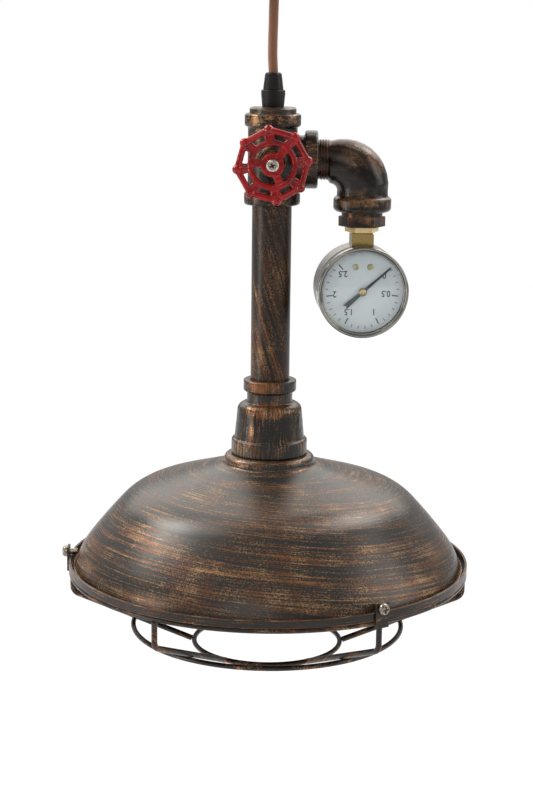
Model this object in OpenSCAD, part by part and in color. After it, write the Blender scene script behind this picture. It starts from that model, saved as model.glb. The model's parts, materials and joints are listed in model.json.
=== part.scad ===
// Pipe-style pendant lamp: cord, tee with handwheel, gauge arm, pipe, dome shade and wire guard.
// Millimetres, +Z up. The origin is the centre of the ceiling face; the lamp hangs below it.

/* [Ceiling fitting] */
// Radius of the canopy
canopy_r = 50; // [44:1:70]
// Height of the canopy
canopy_h = 26; // [24:1:30]
// Sheet thickness of the canopy
canopy_wall = 1.2; // [0.8:0.1:2]
// Rounding of the canopy's lower edge
canopy_edge_r = 8; // [4:0.5:10]
// Distance between the two ceiling screw holes
bracket_pitch = 60; // [45:1:66]
// Radius of a ceiling screw hole
bracket_hole_r = 2.5; // [2:0.1:3]
// Width of the bracket strip
bracket_w = 16; // [14:1:24]
// Thickness of the bracket strip
bracket_t = 2; // [1.5:0.1:3]
// Height of the bracket's bent ears
ear_h = 13; // [12:0.5:16]
// Depth of the canopy screws below the ceiling
canopy_screw_drop = 8; // [7:0.5:9]
// Length of the terminal block
terminal_l = 24; // [18:1:30]
// Height of the terminal block
terminal_h = 9; // [7:0.5:10]
// Length of the ceiling grip below the canopy
ceiling_grip_h = 14; // [12:0.5:16]
// Radius of the ceiling grip
ceiling_grip_r = 7; // [6.4:0.1:9]

/* [Cord] */
// Diameter of the fabric cord
cord_d = 6.4; // [5.6:0.1:6.8]

/* [Cord grip] */
// Height of the grip's cap
cap_h = 11.4; // [10:0.2:16]
// Radius of the cap at its foot
cap_r = 6.75; // [6.2:0.05:7.4]
// Radius of the cap at its top
cap_top_r = 5.6; // [5:0.1:6]
// Height of the grip's body
grip_h = 11.5; // [10:0.1:15]
// Radius of the body's shoulder
grip_r = 8.1; // [7.6:0.1:10]
// Radius of the body's foot
grip_foot_r = 7.3; // [6.6:0.1:9]
// Outer radius of the threaded nipple
nipple_r = 5; // [4.6:0.1:5.4]

/* [Pipe fittings] */
// Outer radius of the pipe
pipe_r = 13.45; // [13.35:0.05:14]
// Bore radius of the pipe
pipe_bore_r = 10.8; // [9.5:0.1:11.5]
// Length of pipe that shows between tee and coupling
pipe_exposed = 119; // [90:0.2:200]
// Radius of the pipe thread
thread_r = 13.2; // [12.8:0.05:13.3]
// Depth of a fitting's threaded socket
socket_depth = 14; // [11:0.5:16]
// Half of the tee's length, also its branch length
tee_half = 30.6; // [29:0.1:36]
// Radius of the tee's body
tee_r = 16.7; // [16:0.1:18]
// Radius of the bands at the tee's mouths
band_r = 19; // [18.4:0.1:21]
// Width of the bands at the tee's mouths
band_w = 8.7; // [6:0.1:10]
// Thickness of the plug's disc on top of the tee
plug_t = 4.1; // [3:0.1:6]
// Radius of the plug's disc
plug_r = 15.8; // [15:0.1:18]

/* [Handwheel] */
// Number of lobes on the rim
wheel_lobes = 8; // [6:1:8]
// Radius to the lobes' centres
wheel_r = 23.2; // [22:0.1:30]
// Radius of a lobe
lobe_r = 3.2; // [2.6:0.1:3.8]
// Radius of the rim bars between lobes
rim_bar_r = 2.1; // [1.6:0.1:2.6]
// Mean radius of the inner ring
inner_ring_r = 14.5; // [13.5:0.1:15.5]
// Width of the inner ring
inner_ring_w = 3.7; // [2.8:0.1:4.2]
// Radius of the hub
hub_r = 7.5; // [6.5:0.1:8.5]
// Depth of the hub
hub_h = 10; // [9:0.5:13]
// Turn of the lobes from the horizontal
wheel_phase = 7; // [0:1:45]
// Radius of the valve stem
stem_r = 4; // [3.6:0.1:4.6]
// Radius of the valve boss on the tee
boss_r = 9.4; // [9.2:0.1:12.6]
// Reach of the valve boss from the tee's axis
boss_reach = 23; // [21:0.5:28]
// Height of the gland nut on the boss
gland_h = 8; // [6:0.5:12]
// Length of stem that shows between gland and hub
stem_shown = 12.5; // [0.5:0.5:20]

/* [Gauge arm] */
// Distance from the tee's axis to the gauge's axis
arm_reach = 61.3; // [60:0.2:75]
// Drop from the arm's axis to the elbow's lower mouth
elbow_drop = 34.7; // [33:0.1:42]
// Radius of the elbow's body at its lower leg
elbow_r = 17.3; // [16.5:0.1:18]
// Radius of the elbow's band
elbow_band_r = 19.7; // [18.6:0.1:21]
// Height of the elbow's band
elbow_band_h = 9.5; // [8:0.1:11]
// Width across flats of the bushing's hexagon
bushing_af = 27.6; // [27:0.1:32]
// Height of the bushing's hexagon
bushing_h = 9.9; // [8:0.1:14]
// Width across flats of the brass hexagon
connector_af = 20; // [19.4:0.1:23]
// Height of the brass hexagon
connector_h = 3.6; // [3:0.1:8]
// Width of the square brass stem
stem_square = 15; // [13:0.1:16]
// Length of the square brass stem
stem_length = 9.3; // [6:0.1:14]
// Turn of the gauge about its stem
gauge_yaw = 4.5; // [-10:0.5:10]
// Radius of the gauge's case
case_r = 30.6; // [29:0.1:38]
// Depth of the gauge's case behind the bezel
case_depth = 28; // [20:0.5:30]
// How far the bezel's outer radius stands past the case
bezel_lip = 0.5; // [0.4:0.1:2]
// Depth of the bezel
bezel_depth = 9; // [8:0.1:12]
// Width of the bezel's ring
bezel_w = 3.4; // [2.6:0.1:4.5]
// Thickness of the sheet of case and bezel
gauge_wall = 1; // [0.7:0.1:1.6]
// Thickness of the lens
lens_t = 1.5; // [1:0.1:2]
// Length of the pointer's tip from its arbor
pointer_tip = 25.5; // [18:0.5:26]
// Length of the pointer's tail from its arbor
pointer_tail = 16; // [10:0.5:20]
// Angle of the pointer at rest above the horizontal
pointer_angle = 41; // [40:1:45]

/* [Coupling] */
// Height of the bell coupling
coupling_h = 54.2; // [48:0.1:70]
// Radius of the coupling's upper band
coupling_top_r = 18.3; // [17.8:0.1:20]
// Height of the coupling's upper band
coupling_top_h = 10; // [8:0.1:12]
// Radius of the coupling's neck
coupling_neck_r = 15.8; // [15.4:0.1:16.5]
// Radius of the bell below its shoulder
bell_r = 22.4; // [22:0.1:23.4]
// Rounding of the bell's shoulder
bell_round = 5.4; // [3:0.1:6]
// Radius of the coupling's lower band
coupling_low_r = 26.3; // [25.6:0.1:30]
// Height of the coupling's lower band
coupling_low_h = 11.1; // [8:0.1:14]
// Number of casting ribs on the bell
coupling_ribs = 4; // [2:1:6]

/* [Shade] */
// Sheet thickness of the shade
shade_wall = 1; // [0.7:0.1:1.6]
// Rounding of the shade's neck bead
neck_round = 4.2; // [3:0.1:6]
// Flat width of the neck around its hole
neck_flat = 6.2; // [5:0.1:9]
// Radius of the shade's rim
shade_rim_r = 135.6; // [118:0.1:150]
// Shares of the rim's radius where the cone ends, the shoulder ends and the skirt steepens
cone_share = 0.62; // [0.55:0.01:0.68]
shoulder_share = 0.764; // [0.72:0.002:0.82]
skirt_share = 0.936; // [0.9:0.002:0.95]
// Radius of the rolled bead on the rim
rim_bead_r = 1.5; // [1.2:0.1:2]
// Outer radius of the lampholder's skirt
holder_r = 19.5; // [18.6:0.1:23]
// Length of the lampholder's skirt
holder_h = 40; // [36:0.5:48]

/* [Guard] */
// Gap between the rim's bead and the guard's band
guard_gap = 0.9; // [0.6:0.1:3]
// Height of the guard's band
guard_band_h = 5.4; // [5.2:0.1:9]
// Thickness of the guard's band and tabs
guard_band_t = 1.5; // [1.2:0.1:2.2]
// Height of the band's top edge above the rim
guard_rise = 3.4; // [2.6:0.1:4.4]
// Diameter of the ring wires
ring_wire_d = 3.5; // [3:0.1:4]
// Diameter of the strut wires
strut_wire_d = 4; // [3.2:0.1:4.4]
// Radius of the guard's middle ring
middle_ring_r = 95; // [80:1:110]
// Radius of the guard's inner ring
small_ring_r = 51.8; // [40:0.2:65]
// Depth of the inner ring below the band's top edge
guard_depth = 61.4; // [50:0.2:80]
// Fall of a strut for each millimetre of its run inward
strut_fall = 0.4; // [0.3:0.01:0.45]
// Bend radius of a strut's wire
strut_bend = 6; // [4:0.5:9]
// Width of the clamp tabs
tab_w = 10; // [8:0.5:14]
// Height of the clamp tabs
tab_h = 17; // [15:0.5:20]
// Radius of a clamp screw
clamp_screw_r = 2; // [1.6:0.1:2.2]

/* [Hidden] */
$fn = 96;

// Radial clearance of pieces that screw or slip into each other
fit = 0.1;
// Radial clearance of a turning shaft in its bearing
running = 0.05;
// Small gap where a wire is welded to another piece
weld_gap = 0.08;
// Free space between faces that pass each other
pass_gap = 0.4;
// Small chamfer on cast edges
chamfer = 0.9;
// Overlap of a cutting tool past the face that it cuts
cut = 1;
// Slip of the cord in the bores that it passes
cord_slip = 0.25;
// Space left at the end of a screwed or pushed-in piece
end_gap = 1;

bronze = [0.27, 0.22, 0.19];
zinc = [0.72, 0.72, 0.70];
brass = [0.78, 0.62, 0.30];
black = [0.09, 0.09, 0.09];
red = [0.66, 0.08, 0.09];
steel = [0.80, 0.80, 0.78];
fabric = [0.30, 0.20, 0.15];
white = [0.86, 0.90, 0.92];
ivory = [0.92, 0.91, 0.88];

cord_r = cord_d / 2;
// The cord's run from the ceiling grip down into the lamp's own grip
cord_route = [[0, 0, -36], [0, 0, -40], [-0.1, 0, -44], [-0.2, 0, -48], [-0.3, 0, -52], [-0.35, 0, -56],
    [-0.4, 0, -60], [-0.5, 0, -64], [-0.6, 0, -68], [-0.65, 0, -72], [-0.7, 0, -76], [-0.65, 0, -80],
    [-0.5, 0, -84], [-0.25, 0, -88], [0, 0, -92], [0, 0, -96]];
cord_sides = 12;
cord_top_z = cord_route[0][2];
cord_end_z = cord_route[len(cord_route) - 1][2];
// Length of cord held inside the cap
cord_hold = 4.5;
cap_top_z = cord_end_z + cord_hold;
grip_top_z = cap_top_z - cap_h;
plug_top_z = grip_top_z - grip_h;
tee_top_z = plug_top_z - plug_t;
tee_z = tee_top_z - tee_half;
tee_low_z = tee_z - tee_half;
socket_r = thread_r + fit;
thread_step = 1.4;
passage_r = thread_r - thread_step;

floor_z = -canopy_h;
stub_h = 7;
stub_r = 4.9;
grip_nut_af = 13;
grip_nut_h = 3;
grip_low_z = floor_z - ceiling_grip_h;
grip_bore_r = cord_r + cord_slip;
flare_out = 1.9;
flare_r = grip_bore_r + flare_out;
lead_gap = 1.2;
ear_x = canopy_r - canopy_wall - fit;
canopy_screw_r = 2;
canopy_screw_head_r = 3.6;
canopy_screw_head_h = 2.4;
canopy_screw_l = 9;
// Shares of a screw head: its straight edge, and its cross recess
pan_edge = 0.45;
recess_l = 1.2;
recess_w = 0.3;
recess_floor = 0.55;
wire_hole_r = 1.8;
wire_hole_rise = 4;

cap_foot_h = 1.2;
grip_rim_h = 3;
nipple_bore_r = cord_r + cord_slip;
nipple_in_grip = 4;
nipple_nut_af = 14;
nipple_nut_h = 3.5;
nipple_below = nipple_nut_h + end_gap;
skirt_h = 9;
skirt_wall = 1.6;
// How far the side opening's band stands out past the other two
side_band_out = 0.6;
branch_step = 0.5;

boss_face_y = -boss_reach;
gland_face_y = boss_face_y - gland_h;
gland_af = 16;
gland_collar_h = 3;
gland_spigot_h = 6;
gland_spigot_r = 6.6;
stem_shoulder = 1.2;
stem_shoulder_r = stem_r + stem_shoulder;
hub_back_y = gland_face_y - stem_shown;
hub_face_y = hub_back_y - hub_h;
// Share of the hub's depth at which the wheel's rim lies
wheel_setback = 0.78;
wheel_y = hub_back_y - hub_h * wheel_setback;
inner_ring_h = 4.4;
wheel_spokes = 3;
wheel_spoke_phase = 52;
wheel_spoke_w = 5;
wheel_spoke_h = 4;
ridge_r = 1.5;
// Half the distance between a spoke's two ridges, at the inner ring and at the rim
ridge_gap = 1.4;
ridge_flare = 2.3;
// Square end of the stem, inside its round section
stem_square_share = 1.4;
stem_square_w = stem_r * stem_square_share;
wheel_screw_r = 2;
wheel_screw_head_r = 4.4;
wheel_screw_head_h = 3.2;
wheel_screw_l = 12;
stem_inner_l = 5;

elbow_sides = 40;
elbow_bore_r = 10;
// Inner radius of the elbow's bend
elbow_inner_gap = 5;
elbow_inner_x = arm_reach - elbow_r - elbow_inner_gap;
elbow_thread_shown = 6.6;
elbow_body_x = tee_half + elbow_thread_shown;
elbow_top = 12.8;
elbow_under = 16;
elbow_inner_z = -elbow_under - elbow_inner_gap;
// Swell of the outer side half way round the bend
elbow_swell = 2.2;
// Rounding of the elbow's mouth
elbow_foot = 1.8;
elbow_steps = 10;
elbow_mouth_z = tee_z - elbow_drop;
elbow_thread_depth = 12;
bushing_neck_h = 3.2;
bushing_neck_r = 13.9;
bushing_low_z = elbow_mouth_z - bushing_h;
connector_thread_r = 9.6;
connector_bore_r = 3.2;
connector_low_z = bushing_low_z - connector_h;
connector_cone_h = 1.4;
stem_low_z = connector_low_z - connector_cone_h - stem_length;
stem_overlap = 1.2;
gauge_z = stem_low_z - case_r + stem_overlap;
gauge_back_y = 20;
case_front_y = gauge_back_y - case_depth;
bezel_r = case_r + bezel_lip;
bezel_front_y = case_front_y - bezel_depth;
case_edge_r = 1.4;
bezel_overlap = 3;
lens_back_y = bezel_front_y + bezel_w / 2 + weld_gap + lens_t;
dial_t = 0.6;
dial_margin = 1.6;
dial_r = case_r - gauge_wall - dial_margin;
pointer_t = 0.5;
pointer_hub_r = 2.75;
pointer_hub_h = 1.1;
pointer_stand = 1.2;
pointer_room = 1;
pointer_face_y = lens_back_y + pointer_room + pointer_hub_h;
dial_face_y = pointer_face_y + pointer_stand;
// Half widths of the pointer at its tail, arbor, middle, neck and end
pointer_tail_half = 1.8;
pointer_notch = 1.4;
pointer_root_half = 1.1;
pointer_mid_half = 0.7;
pointer_neck_half = 0.6;
pointer_end_half = 0.15;
pointer_mid = pointer_tip * 0.5;
pointer_neck = pointer_tip * 0.92;
dial_screw_x = 5;
dial_screw_rise = 17;
dial_screw_r = 2.1;
dial_screw_head_h = 1;
dial_screw_shank_r = 1;
dial_screw_l = 4;
movement_r = 7;
movement_front_y = dial_face_y + dial_t;
movement_back_y = gauge_back_y - gauge_wall;
arbor_r = 1.2;
arbor_l = 8;
movement_neck_w = 12;
movement_neck_d = 10;

coupling_top_z = tee_low_z - pipe_exposed;
coupling_low_z = coupling_top_z - coupling_h;
bell_start = 18;
bell_flare = 1.9;
rib_w = 2.2;
rib_out = 1.1;
rib_root = 0.5;
rib_phase = -118.5;
bush_thread_r = 20.8;
bush_socket_r = bush_thread_r + fit;
bush_socket_h = 15;
pipe_top_z = tee_low_z + socket_depth;
pipe_low_z = coupling_top_z - socket_depth;

neck_z = coupling_low_z;
neck_slip = 0.3;
neck_hole_r = bush_thread_r + neck_slip;
neck_r = neck_hole_r + neck_flat + neck_round;
neck_drop = 0.1;
neck_fillet = 3;
cone_slope = 16.7;
cone_end_r = shade_rim_r * cone_share;
shoulder_end_r = shade_rim_r * shoulder_share;
skirt_end_r = shade_rim_r * skirt_share;
shoulder_slope = 47;
skirt_slope = 52.5;
rim_slope = 75;
arc_steps = 10;

// Each profile entry is [radius, height, angle of the outward normal from the vertical]
function turn_arc(c, r, a0, a1, n) = [for (i = [0:n]) let (a = a0 + (a1 - a0) * i / n)
    [c[0] + r * sin(a), c[1] + r * cos(a), a]];
function slope_arc(p, r1, a1, n) = let (a0 = p[2], rho = (r1 - p[0]) / (sin(a1) - sin(a0)))
    [for (i = [1:n]) let (a = a0 + (a1 - a0) * i / n)
        [p[0] + rho * (sin(a) - sin(a0)), p[1] - rho * (cos(a0) - cos(a)), a]];
function last(v) = v[len(v) - 1];

neck_profile = concat([[neck_hole_r, neck_z, 0]],
    turn_arc([neck_hole_r + neck_flat, neck_z - neck_round], neck_round, 0, 90, arc_steps));
fillet_c = [neck_r + neck_fillet, neck_z - neck_round - neck_drop];
fillet_profile = [for (i = [0:arc_steps]) let (a = 90 - (90 - cone_slope) * i / arc_steps)
    [fillet_c[0] - neck_fillet * sin(a), fillet_c[1] - neck_fillet * cos(a), a]];
cone_start = last(fillet_profile);
cone_end = [cone_end_r, cone_start[1] - (cone_end_r - cone_start[0]) * tan(cone_slope), cone_slope];
shoulder_profile = slope_arc(cone_end, shoulder_end_r, shoulder_slope, arc_steps);
skirt_profile = slope_arc(last(shoulder_profile), skirt_end_r, skirt_slope, arc_steps / 2);
rim_profile = slope_arc(last(skirt_profile), shade_rim_r, rim_slope, arc_steps / 2);
shade_profile = concat(neck_profile, fillet_profile, [cone_end], shoulder_profile, skirt_profile,
    rim_profile);
rim_z = last(shade_profile)[1];
// Place of the bead's centre past the rim, as shares of its radius
bead_out = 0.35;
bead_drop = 0.8;
bead_c = [shade_rim_r + rim_bead_r * bead_out, rim_z - rim_bead_r * bead_drop];
// The bead's arc runs from the skirt's outer face round to its inner face
bead_from = 100;
bead_to = -205;

flange_margin = 0.5;
bush_flange_r = neck_hole_r + neck_flat - flange_margin;
bush_flange_h = 3;
bush_top_z = neck_z + bush_socket_h - end_gap;
bush_flange_z = neck_z - shade_wall;
bush_bore_r = 15;
holder_top_z = bush_flange_z - bush_flange_h;
holder_low_z = holder_top_z - holder_h;
holder_spigot_r = bush_bore_r - fit;
holder_spigot_h = 14;
holder_floor = 8;
holder_wire_r = cord_r + cord_slip;
shell_r = 14;
shell_wall = 0.6;
shell_recess = 3;
contact_r = 4;
contact_h = 3;
shell_h = holder_h - holder_floor - contact_h - shell_recess;
shell_low_z = holder_low_z + shell_recess;
holder_bore_r = shell_r + fit;
flex_end_rise = 4;
flex_low_z = holder_top_z + flex_end_rise;

band_inner_r = bead_c[0] + rim_bead_r + guard_gap;
guard_r = band_inner_r + guard_band_t;
guard_top_z = rim_z + guard_rise;
band_low_z = guard_top_z - guard_band_h;
ring_wire_r = ring_wire_d / 2;
strut_wire_r = strut_wire_d / 2;
rim_wire_z = band_low_z - ring_wire_r - weld_gap;
rim_wire_r = guard_r - ring_wire_r;
strut_r = guard_r - strut_wire_r - weld_gap;
small_ring_z = guard_top_z - guard_depth;
// Azimuths of the hand-welded struts and of the clamp tabs
strut_azimuths = [0, 60, 120, 180, -122, -58.4];
wire_sides = 16;
bend_steps = 6;
strut_angle = atan(strut_fall);
strut_corner_z = small_ring_z + (strut_r - small_ring_r) * strut_fall;
middle_ring_z = small_ring_z + (middle_ring_r - small_ring_r) * strut_fall
    - (strut_wire_r + ring_wire_r + weld_gap) / cos(strut_angle);
strut_top_z = rim_wire_z - ring_wire_r - weld_gap;
tab_rise = 6.6;
tab_z = guard_top_z + tab_rise;
tab_r = guard_r + weld_gap;
tab_screw_rise = 2.7;
tab_screw_z = guard_top_z + tab_screw_rise;
tab_azimuths = [-58.4, 60, 180];
clamp_head_r = 3.9;
clamp_head_h = 3.4;
clamp_tip_gap = 0.25;
// Radius of the shade's skirt at the lower edge of the clamp screws
clamp_tip_r = lookup(clamp_screw_r - tab_screw_z,
    [for (p = concat(skirt_profile, rim_profile)) [-p[1], p[0]]]) + clamp_tip_gap;

// Points of a profile, moved inward along the normals
function inset(profile, depth) = [for (p = profile) [p[0] - depth * sin(p[2]), p[1] - depth * cos(p[2])]];
function reversed(v) = [for (i = [len(v) - 1:-1:0]) v[i]];

// Faces of a closed skin of rings; ends = true caps both ends, false joins the last ring to the first
function skin_faces(rings, sides, ends) = concat(
    [for (i = [0:rings - (ends ? 2 : 1)], j = [0:sides - 1], k = [0, 1])
        let (a = i * sides + j, b = i * sides + (j + 1) % sides,
            c = ((i + 1) % rings) * sides + j, d = ((i + 1) % rings) * sides + (j + 1) % sides)
        k == 0 ? [a, c, b] : [b, c, d]],
    ends ? [[for (j = [0:sides - 1]) j], [for (j = [sides - 1:-1:0]) (rings - 1) * sides + j]] : []);

// Ring of a swept skin in the XZ plane: centre, direction of travel, radius and number of sides
function sweep_ring(x, z, dir, r, sides) = [for (j = [0:sides - 1]) let (a = 360 * j / sides)
    [x - r * cos(a) * sin(dir), r * sin(a), z + r * cos(a) * cos(dir)]];

module tube(r_out, r_in, z0, z1) {
    difference() {
        translate([0, 0, z0]) cylinder(r = r_out, h = z1 - z0);
        translate([0, 0, z0 - cut]) cylinder(r = r_in, h = z1 - z0 + 2 * cut);
    }
}

module hex_prism(af, z0, z1) {
    translate([0, 0, z0]) cylinder(r = af / 2 / cos(30), h = z1 - z0, $fn = 6);
}

// Turns a shape so that its +Z points to the front
module facing_front(x, z) {
    translate([x, 0, z]) rotate([90, 0, 0]) children();
}

// Places a child that faces +Z on the gauge's axis, turned about its stem
module at_gauge() {
    translate([arm_reach, 0, gauge_z]) rotate([0, 0, gauge_yaw]) rotate([90, 0, 0]) children();
}

// Banded cylinder with chamfered edges
module band(r, r_in, z0, z1) {
    rotate_extrude() polygon([[r_in, z0], [r - chamfer, z0], [r, z0 + chamfer], [r, z1 - chamfer],
        [r - chamfer, z1], [r_in, z1]]);
}

module ceiling_bracket() {
    color(zinc) difference() {
        union() {
            translate([-ear_x, -bracket_w / 2, -bracket_t]) cube([2 * ear_x, bracket_w, bracket_t]);
            for (side = [-1, 1])
                translate([side * (ear_x - bracket_t / 2) - bracket_t / 2, -bracket_w / 2, -ear_h])
                    cube([bracket_t, bracket_w, ear_h - bracket_t]);
        }
        for (side = [-1, 1]) {
            translate([side * bracket_pitch / 2, 0, -bracket_t - cut])
                cylinder(r = bracket_hole_r, h = bracket_t + 2 * cut);
            translate([side * (ear_x - bracket_t - cut), 0, -canopy_screw_drop]) rotate([0, side * 90, 0])
                cylinder(r = canopy_screw_r + running, h = bracket_t + 2 * cut);
        }
        // Round off the ear corners so that they clear the canopy's wall
        difference() {
            translate([-canopy_r, -bracket_w, -ear_h - cut])
                cube([2 * canopy_r, 2 * bracket_w, ear_h + 2 * cut]);
            translate([0, 0, -ear_h - 2 * cut]) cylinder(r = ear_x, h = ear_h + 4 * cut);
        }
    }
}

module terminal_block() {
    color(ivory) difference() {
        translate([-terminal_l / 2, -bracket_w / 2, -bracket_t - terminal_h])
            cube([terminal_l, bracket_w, terminal_h]);
        for (side = [-1, 1])
            translate([side * terminal_l / 4, -bracket_w / 2 - cut, -bracket_t - terminal_h + wire_hole_rise])
                rotate([-90, 0, 0]) cylinder(r = wire_hole_r, h = bracket_w + 2 * cut);
    }
}

module ceiling_canopy() {
    color(bronze) difference() {
        rotate_extrude() difference() {
            union() {
                translate([0, floor_z + canopy_edge_r]) square([canopy_r, canopy_h - canopy_edge_r]);
                translate([0, floor_z]) square([canopy_r - canopy_edge_r, canopy_h]);
                translate([canopy_r - canopy_edge_r, floor_z + canopy_edge_r]) circle(r = canopy_edge_r);
            }
            translate([0, floor_z + canopy_edge_r])
                square([canopy_r - canopy_wall, canopy_h - canopy_edge_r + cut]);
            translate([0, floor_z + canopy_wall]) square([canopy_r - canopy_edge_r, canopy_h + cut]);
            translate([canopy_r - canopy_edge_r, floor_z + canopy_edge_r])
                circle(r = canopy_edge_r - canopy_wall);
            translate([-cut, floor_z - cut]) square([stub_r + fit + cut, canopy_h]);
        }
        for (side = [-1, 1])
            translate([side * (canopy_r - canopy_wall - cut), 0, -canopy_screw_drop])
                rotate([0, side * 90, 0]) cylinder(r = canopy_screw_r + fit, h = canopy_wall + 2 * cut);
    }
}

// Pan-head screw along +Z: the head's seat is at 0 and the shank runs down
module pan_screw(shank_r, shank_l, head_r, head_h) {
    edge_h = head_h * pan_edge;
    round_r = head_h - edge_h;
    rotate_extrude() {
        translate([0, -shank_l]) square([shank_r, shank_l + edge_h]);
        square([head_r, edge_h]);
        translate([0, edge_h]) intersection() {
            translate([head_r - round_r, 0]) circle(r = round_r);
            square([head_r, head_h]);
        }
        square([head_r - round_r, head_h]);
    }
}

module cross_recess(head_r, head_h) {
    slot_l = head_r * recess_l;
    slot_w = head_r * recess_w;
    for (a = [0, 90])
        rotate([0, 0, a]) translate([-slot_l / 2, -slot_w / 2, head_h * recess_floor])
            cube([slot_l, slot_w, head_h]);
}

module canopy_screw(side) {
    color(zinc) translate([side * canopy_r, 0, -canopy_screw_drop]) rotate([0, side * 90, 0]) difference() {
        pan_screw(canopy_screw_r, canopy_screw_l, canopy_screw_head_r, canopy_screw_head_h);
        cross_recess(canopy_screw_head_r, canopy_screw_head_h);
    }
}

module canopy_screw_left() { canopy_screw(-1); }
module canopy_screw_right() { canopy_screw(1); }

module ceiling_grip() {
    color(black) rotate_extrude() polygon([[grip_bore_r, floor_z + stub_h], [stub_r, floor_z + stub_h],
        [stub_r, floor_z], [ceiling_grip_r, floor_z], [ceiling_grip_r, grip_low_z + chamfer],
        [ceiling_grip_r - chamfer, grip_low_z], [flare_r, grip_low_z], [grip_bore_r, cord_top_z]]);
}

module ceiling_grip_nut() {
    color(zinc) difference() {
        hex_prism(grip_nut_af, floor_z + canopy_wall, floor_z + canopy_wall + grip_nut_h);
        translate([0, 0, floor_z]) cylinder(r = stub_r + running, h = canopy_h);
    }
}

module canopy_lead() {
    lead_top = -bracket_t - terminal_h;
    color(fabric) translate([0, 0, cord_top_z + lead_gap])
        cylinder(r = cord_r, h = lead_top - cord_top_z - lead_gap);
}

module cord() {
    points = [for (p = cord_route, j = [0:cord_sides - 1]) let (a = 360 * j / cord_sides)
        [p[0] + cord_r * cos(a), p[1] + cord_r * sin(a), p[2]]];
    color(fabric) polyhedron(points, skin_faces(len(cord_route), cord_sides, true));
}

module cord_grip_cap() {
    color(black) rotate_extrude()
        polygon([[cord_r + fit, cap_top_z], [cap_top_r - chamfer, cap_top_z],
            [cap_top_r, cap_top_z - chamfer], [cap_r, grip_top_z + cap_foot_h], [cap_r, grip_top_z],
            [cord_r + fit, grip_top_z]]);
}

module cord_grip_body() {
    nipple_top = plug_top_z + nipple_in_grip;
    color(black) rotate_extrude() polygon([[cord_r + fit, grip_top_z], [grip_r - chamfer / 2, grip_top_z],
        [grip_r, grip_top_z - chamfer / 2], [grip_r, grip_top_z - grip_rim_h], [grip_foot_r, plug_top_z],
        [nipple_r + fit, plug_top_z], [nipple_r + fit, nipple_top + fit], [cord_r + fit, nipple_top + fit]]);
}

module threaded_nipple() {
    color(zinc) tube(nipple_r, nipple_bore_r, tee_top_z - nipple_below, plug_top_z + nipple_in_grip);
}

module nipple_nut() {
    color(zinc) difference() {
        hex_prism(nipple_nut_af, tee_top_z - nipple_nut_h, tee_top_z);
        translate([0, 0, tee_top_z - nipple_nut_h - cut])
            cylinder(r = nipple_r + running, h = nipple_nut_h + 2 * cut);
    }
}

module top_plug() {
    color(bronze) rotate_extrude() polygon([[nipple_r + fit, plug_top_z], [plug_r - chamfer, plug_top_z],
        [plug_r, plug_top_z - chamfer], [plug_r, tee_top_z], [thread_r, tee_top_z],
        [thread_r, tee_top_z - skirt_h], [thread_r - skirt_wall, tee_top_z - skirt_h],
        [thread_r - skirt_wall, tee_top_z], [nipple_r + fit, tee_top_z]]);
}

module supply_flex() {
    color(fabric) translate([0, 0, flex_low_z]) cylinder(r = cord_r, h = cord_end_z - flex_low_z);
}

module tee() {
    branch_r = tee_r - branch_step;
    color(bronze) translate([0, 0, tee_z]) difference() {
        union() {
            translate([0, 0, -tee_half + chamfer]) cylinder(r = tee_r, h = 2 * (tee_half - chamfer));
            rotate([0, 90, 0]) cylinder(r = branch_r, h = tee_half - chamfer);
            facing_front(0, 0) cylinder(r = boss_r, h = boss_reach);
            for (turn = [[0, 0, 0], [180, 0, 0]])
                rotate(turn) band(band_r, passage_r, tee_half - band_w, tee_half);
            rotate([0, 90, 0]) band(band_r + side_band_out, passage_r, tee_half - band_w, tee_half);
        }
        translate([0, 0, -tee_half - cut]) cylinder(r = passage_r, h = 2 * (tee_half + cut));
        rotate([0, 90, 0]) cylinder(r = elbow_bore_r, h = tee_half + cut);
        for (turn = [[0, 0, 0], [180, 0, 0], [0, 90, 0]])
            rotate(turn) translate([0, 0, tee_half - socket_depth])
                cylinder(r = socket_r, h = socket_depth + cut);
        facing_front(0, 0) translate([0, 0, boss_reach - gland_spigot_h])
            cylinder(r = gland_spigot_r + fit, h = gland_spigot_h + cut);
        facing_front(0, 0) cylinder(r = stem_shoulder_r + pass_gap, h = boss_reach);
    }
}

module valve_gland() {
    color(bronze) facing_front(0, tee_z) difference() {
        union() {
            translate([0, 0, boss_reach - gland_spigot_h])
                cylinder(r = gland_spigot_r, h = gland_spigot_h + cut);
            hex_prism(gland_af, boss_reach, boss_reach + gland_h - gland_collar_h);
            translate([0, 0, boss_reach + gland_h - gland_collar_h - cut])
                cylinder(r = gland_af / 2 - chamfer, h = gland_collar_h + cut);
        }
        cylinder(r = stem_r + running, h = boss_reach + gland_h + cut);
    }
}

module valve_stem() {
    stem_back = boss_reach - gland_spigot_h - pass_gap;
    color(brass) facing_front(0, tee_z) difference() {
        union() {
            translate([0, 0, stem_back - stem_inner_l]) cylinder(r = stem_shoulder_r, h = stem_inner_l);
            translate([0, 0, stem_back - cut]) cylinder(r = stem_r, h = -hub_back_y - stem_back + cut);
            translate([-stem_square_w / 2, -stem_square_w / 2, -hub_back_y - cut])
                cube([stem_square_w, stem_square_w, hub_h + cut]);
        }
        translate([0, 0, -hub_face_y - wheel_screw_l - cut])
            cylinder(r = wheel_screw_r + running, h = wheel_screw_l + 2 * cut);
    }
}

// Bar of round section between two points of the wheel's plane
module wheel_bar(p, q, r) {
    d = q - p;
    translate([p[0], p[1], 0]) rotate([0, 0, atan2(d[1], d[0])]) rotate([0, 90, 0])
        cylinder(r = r, h = norm(d), $fn = 32);
}

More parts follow.
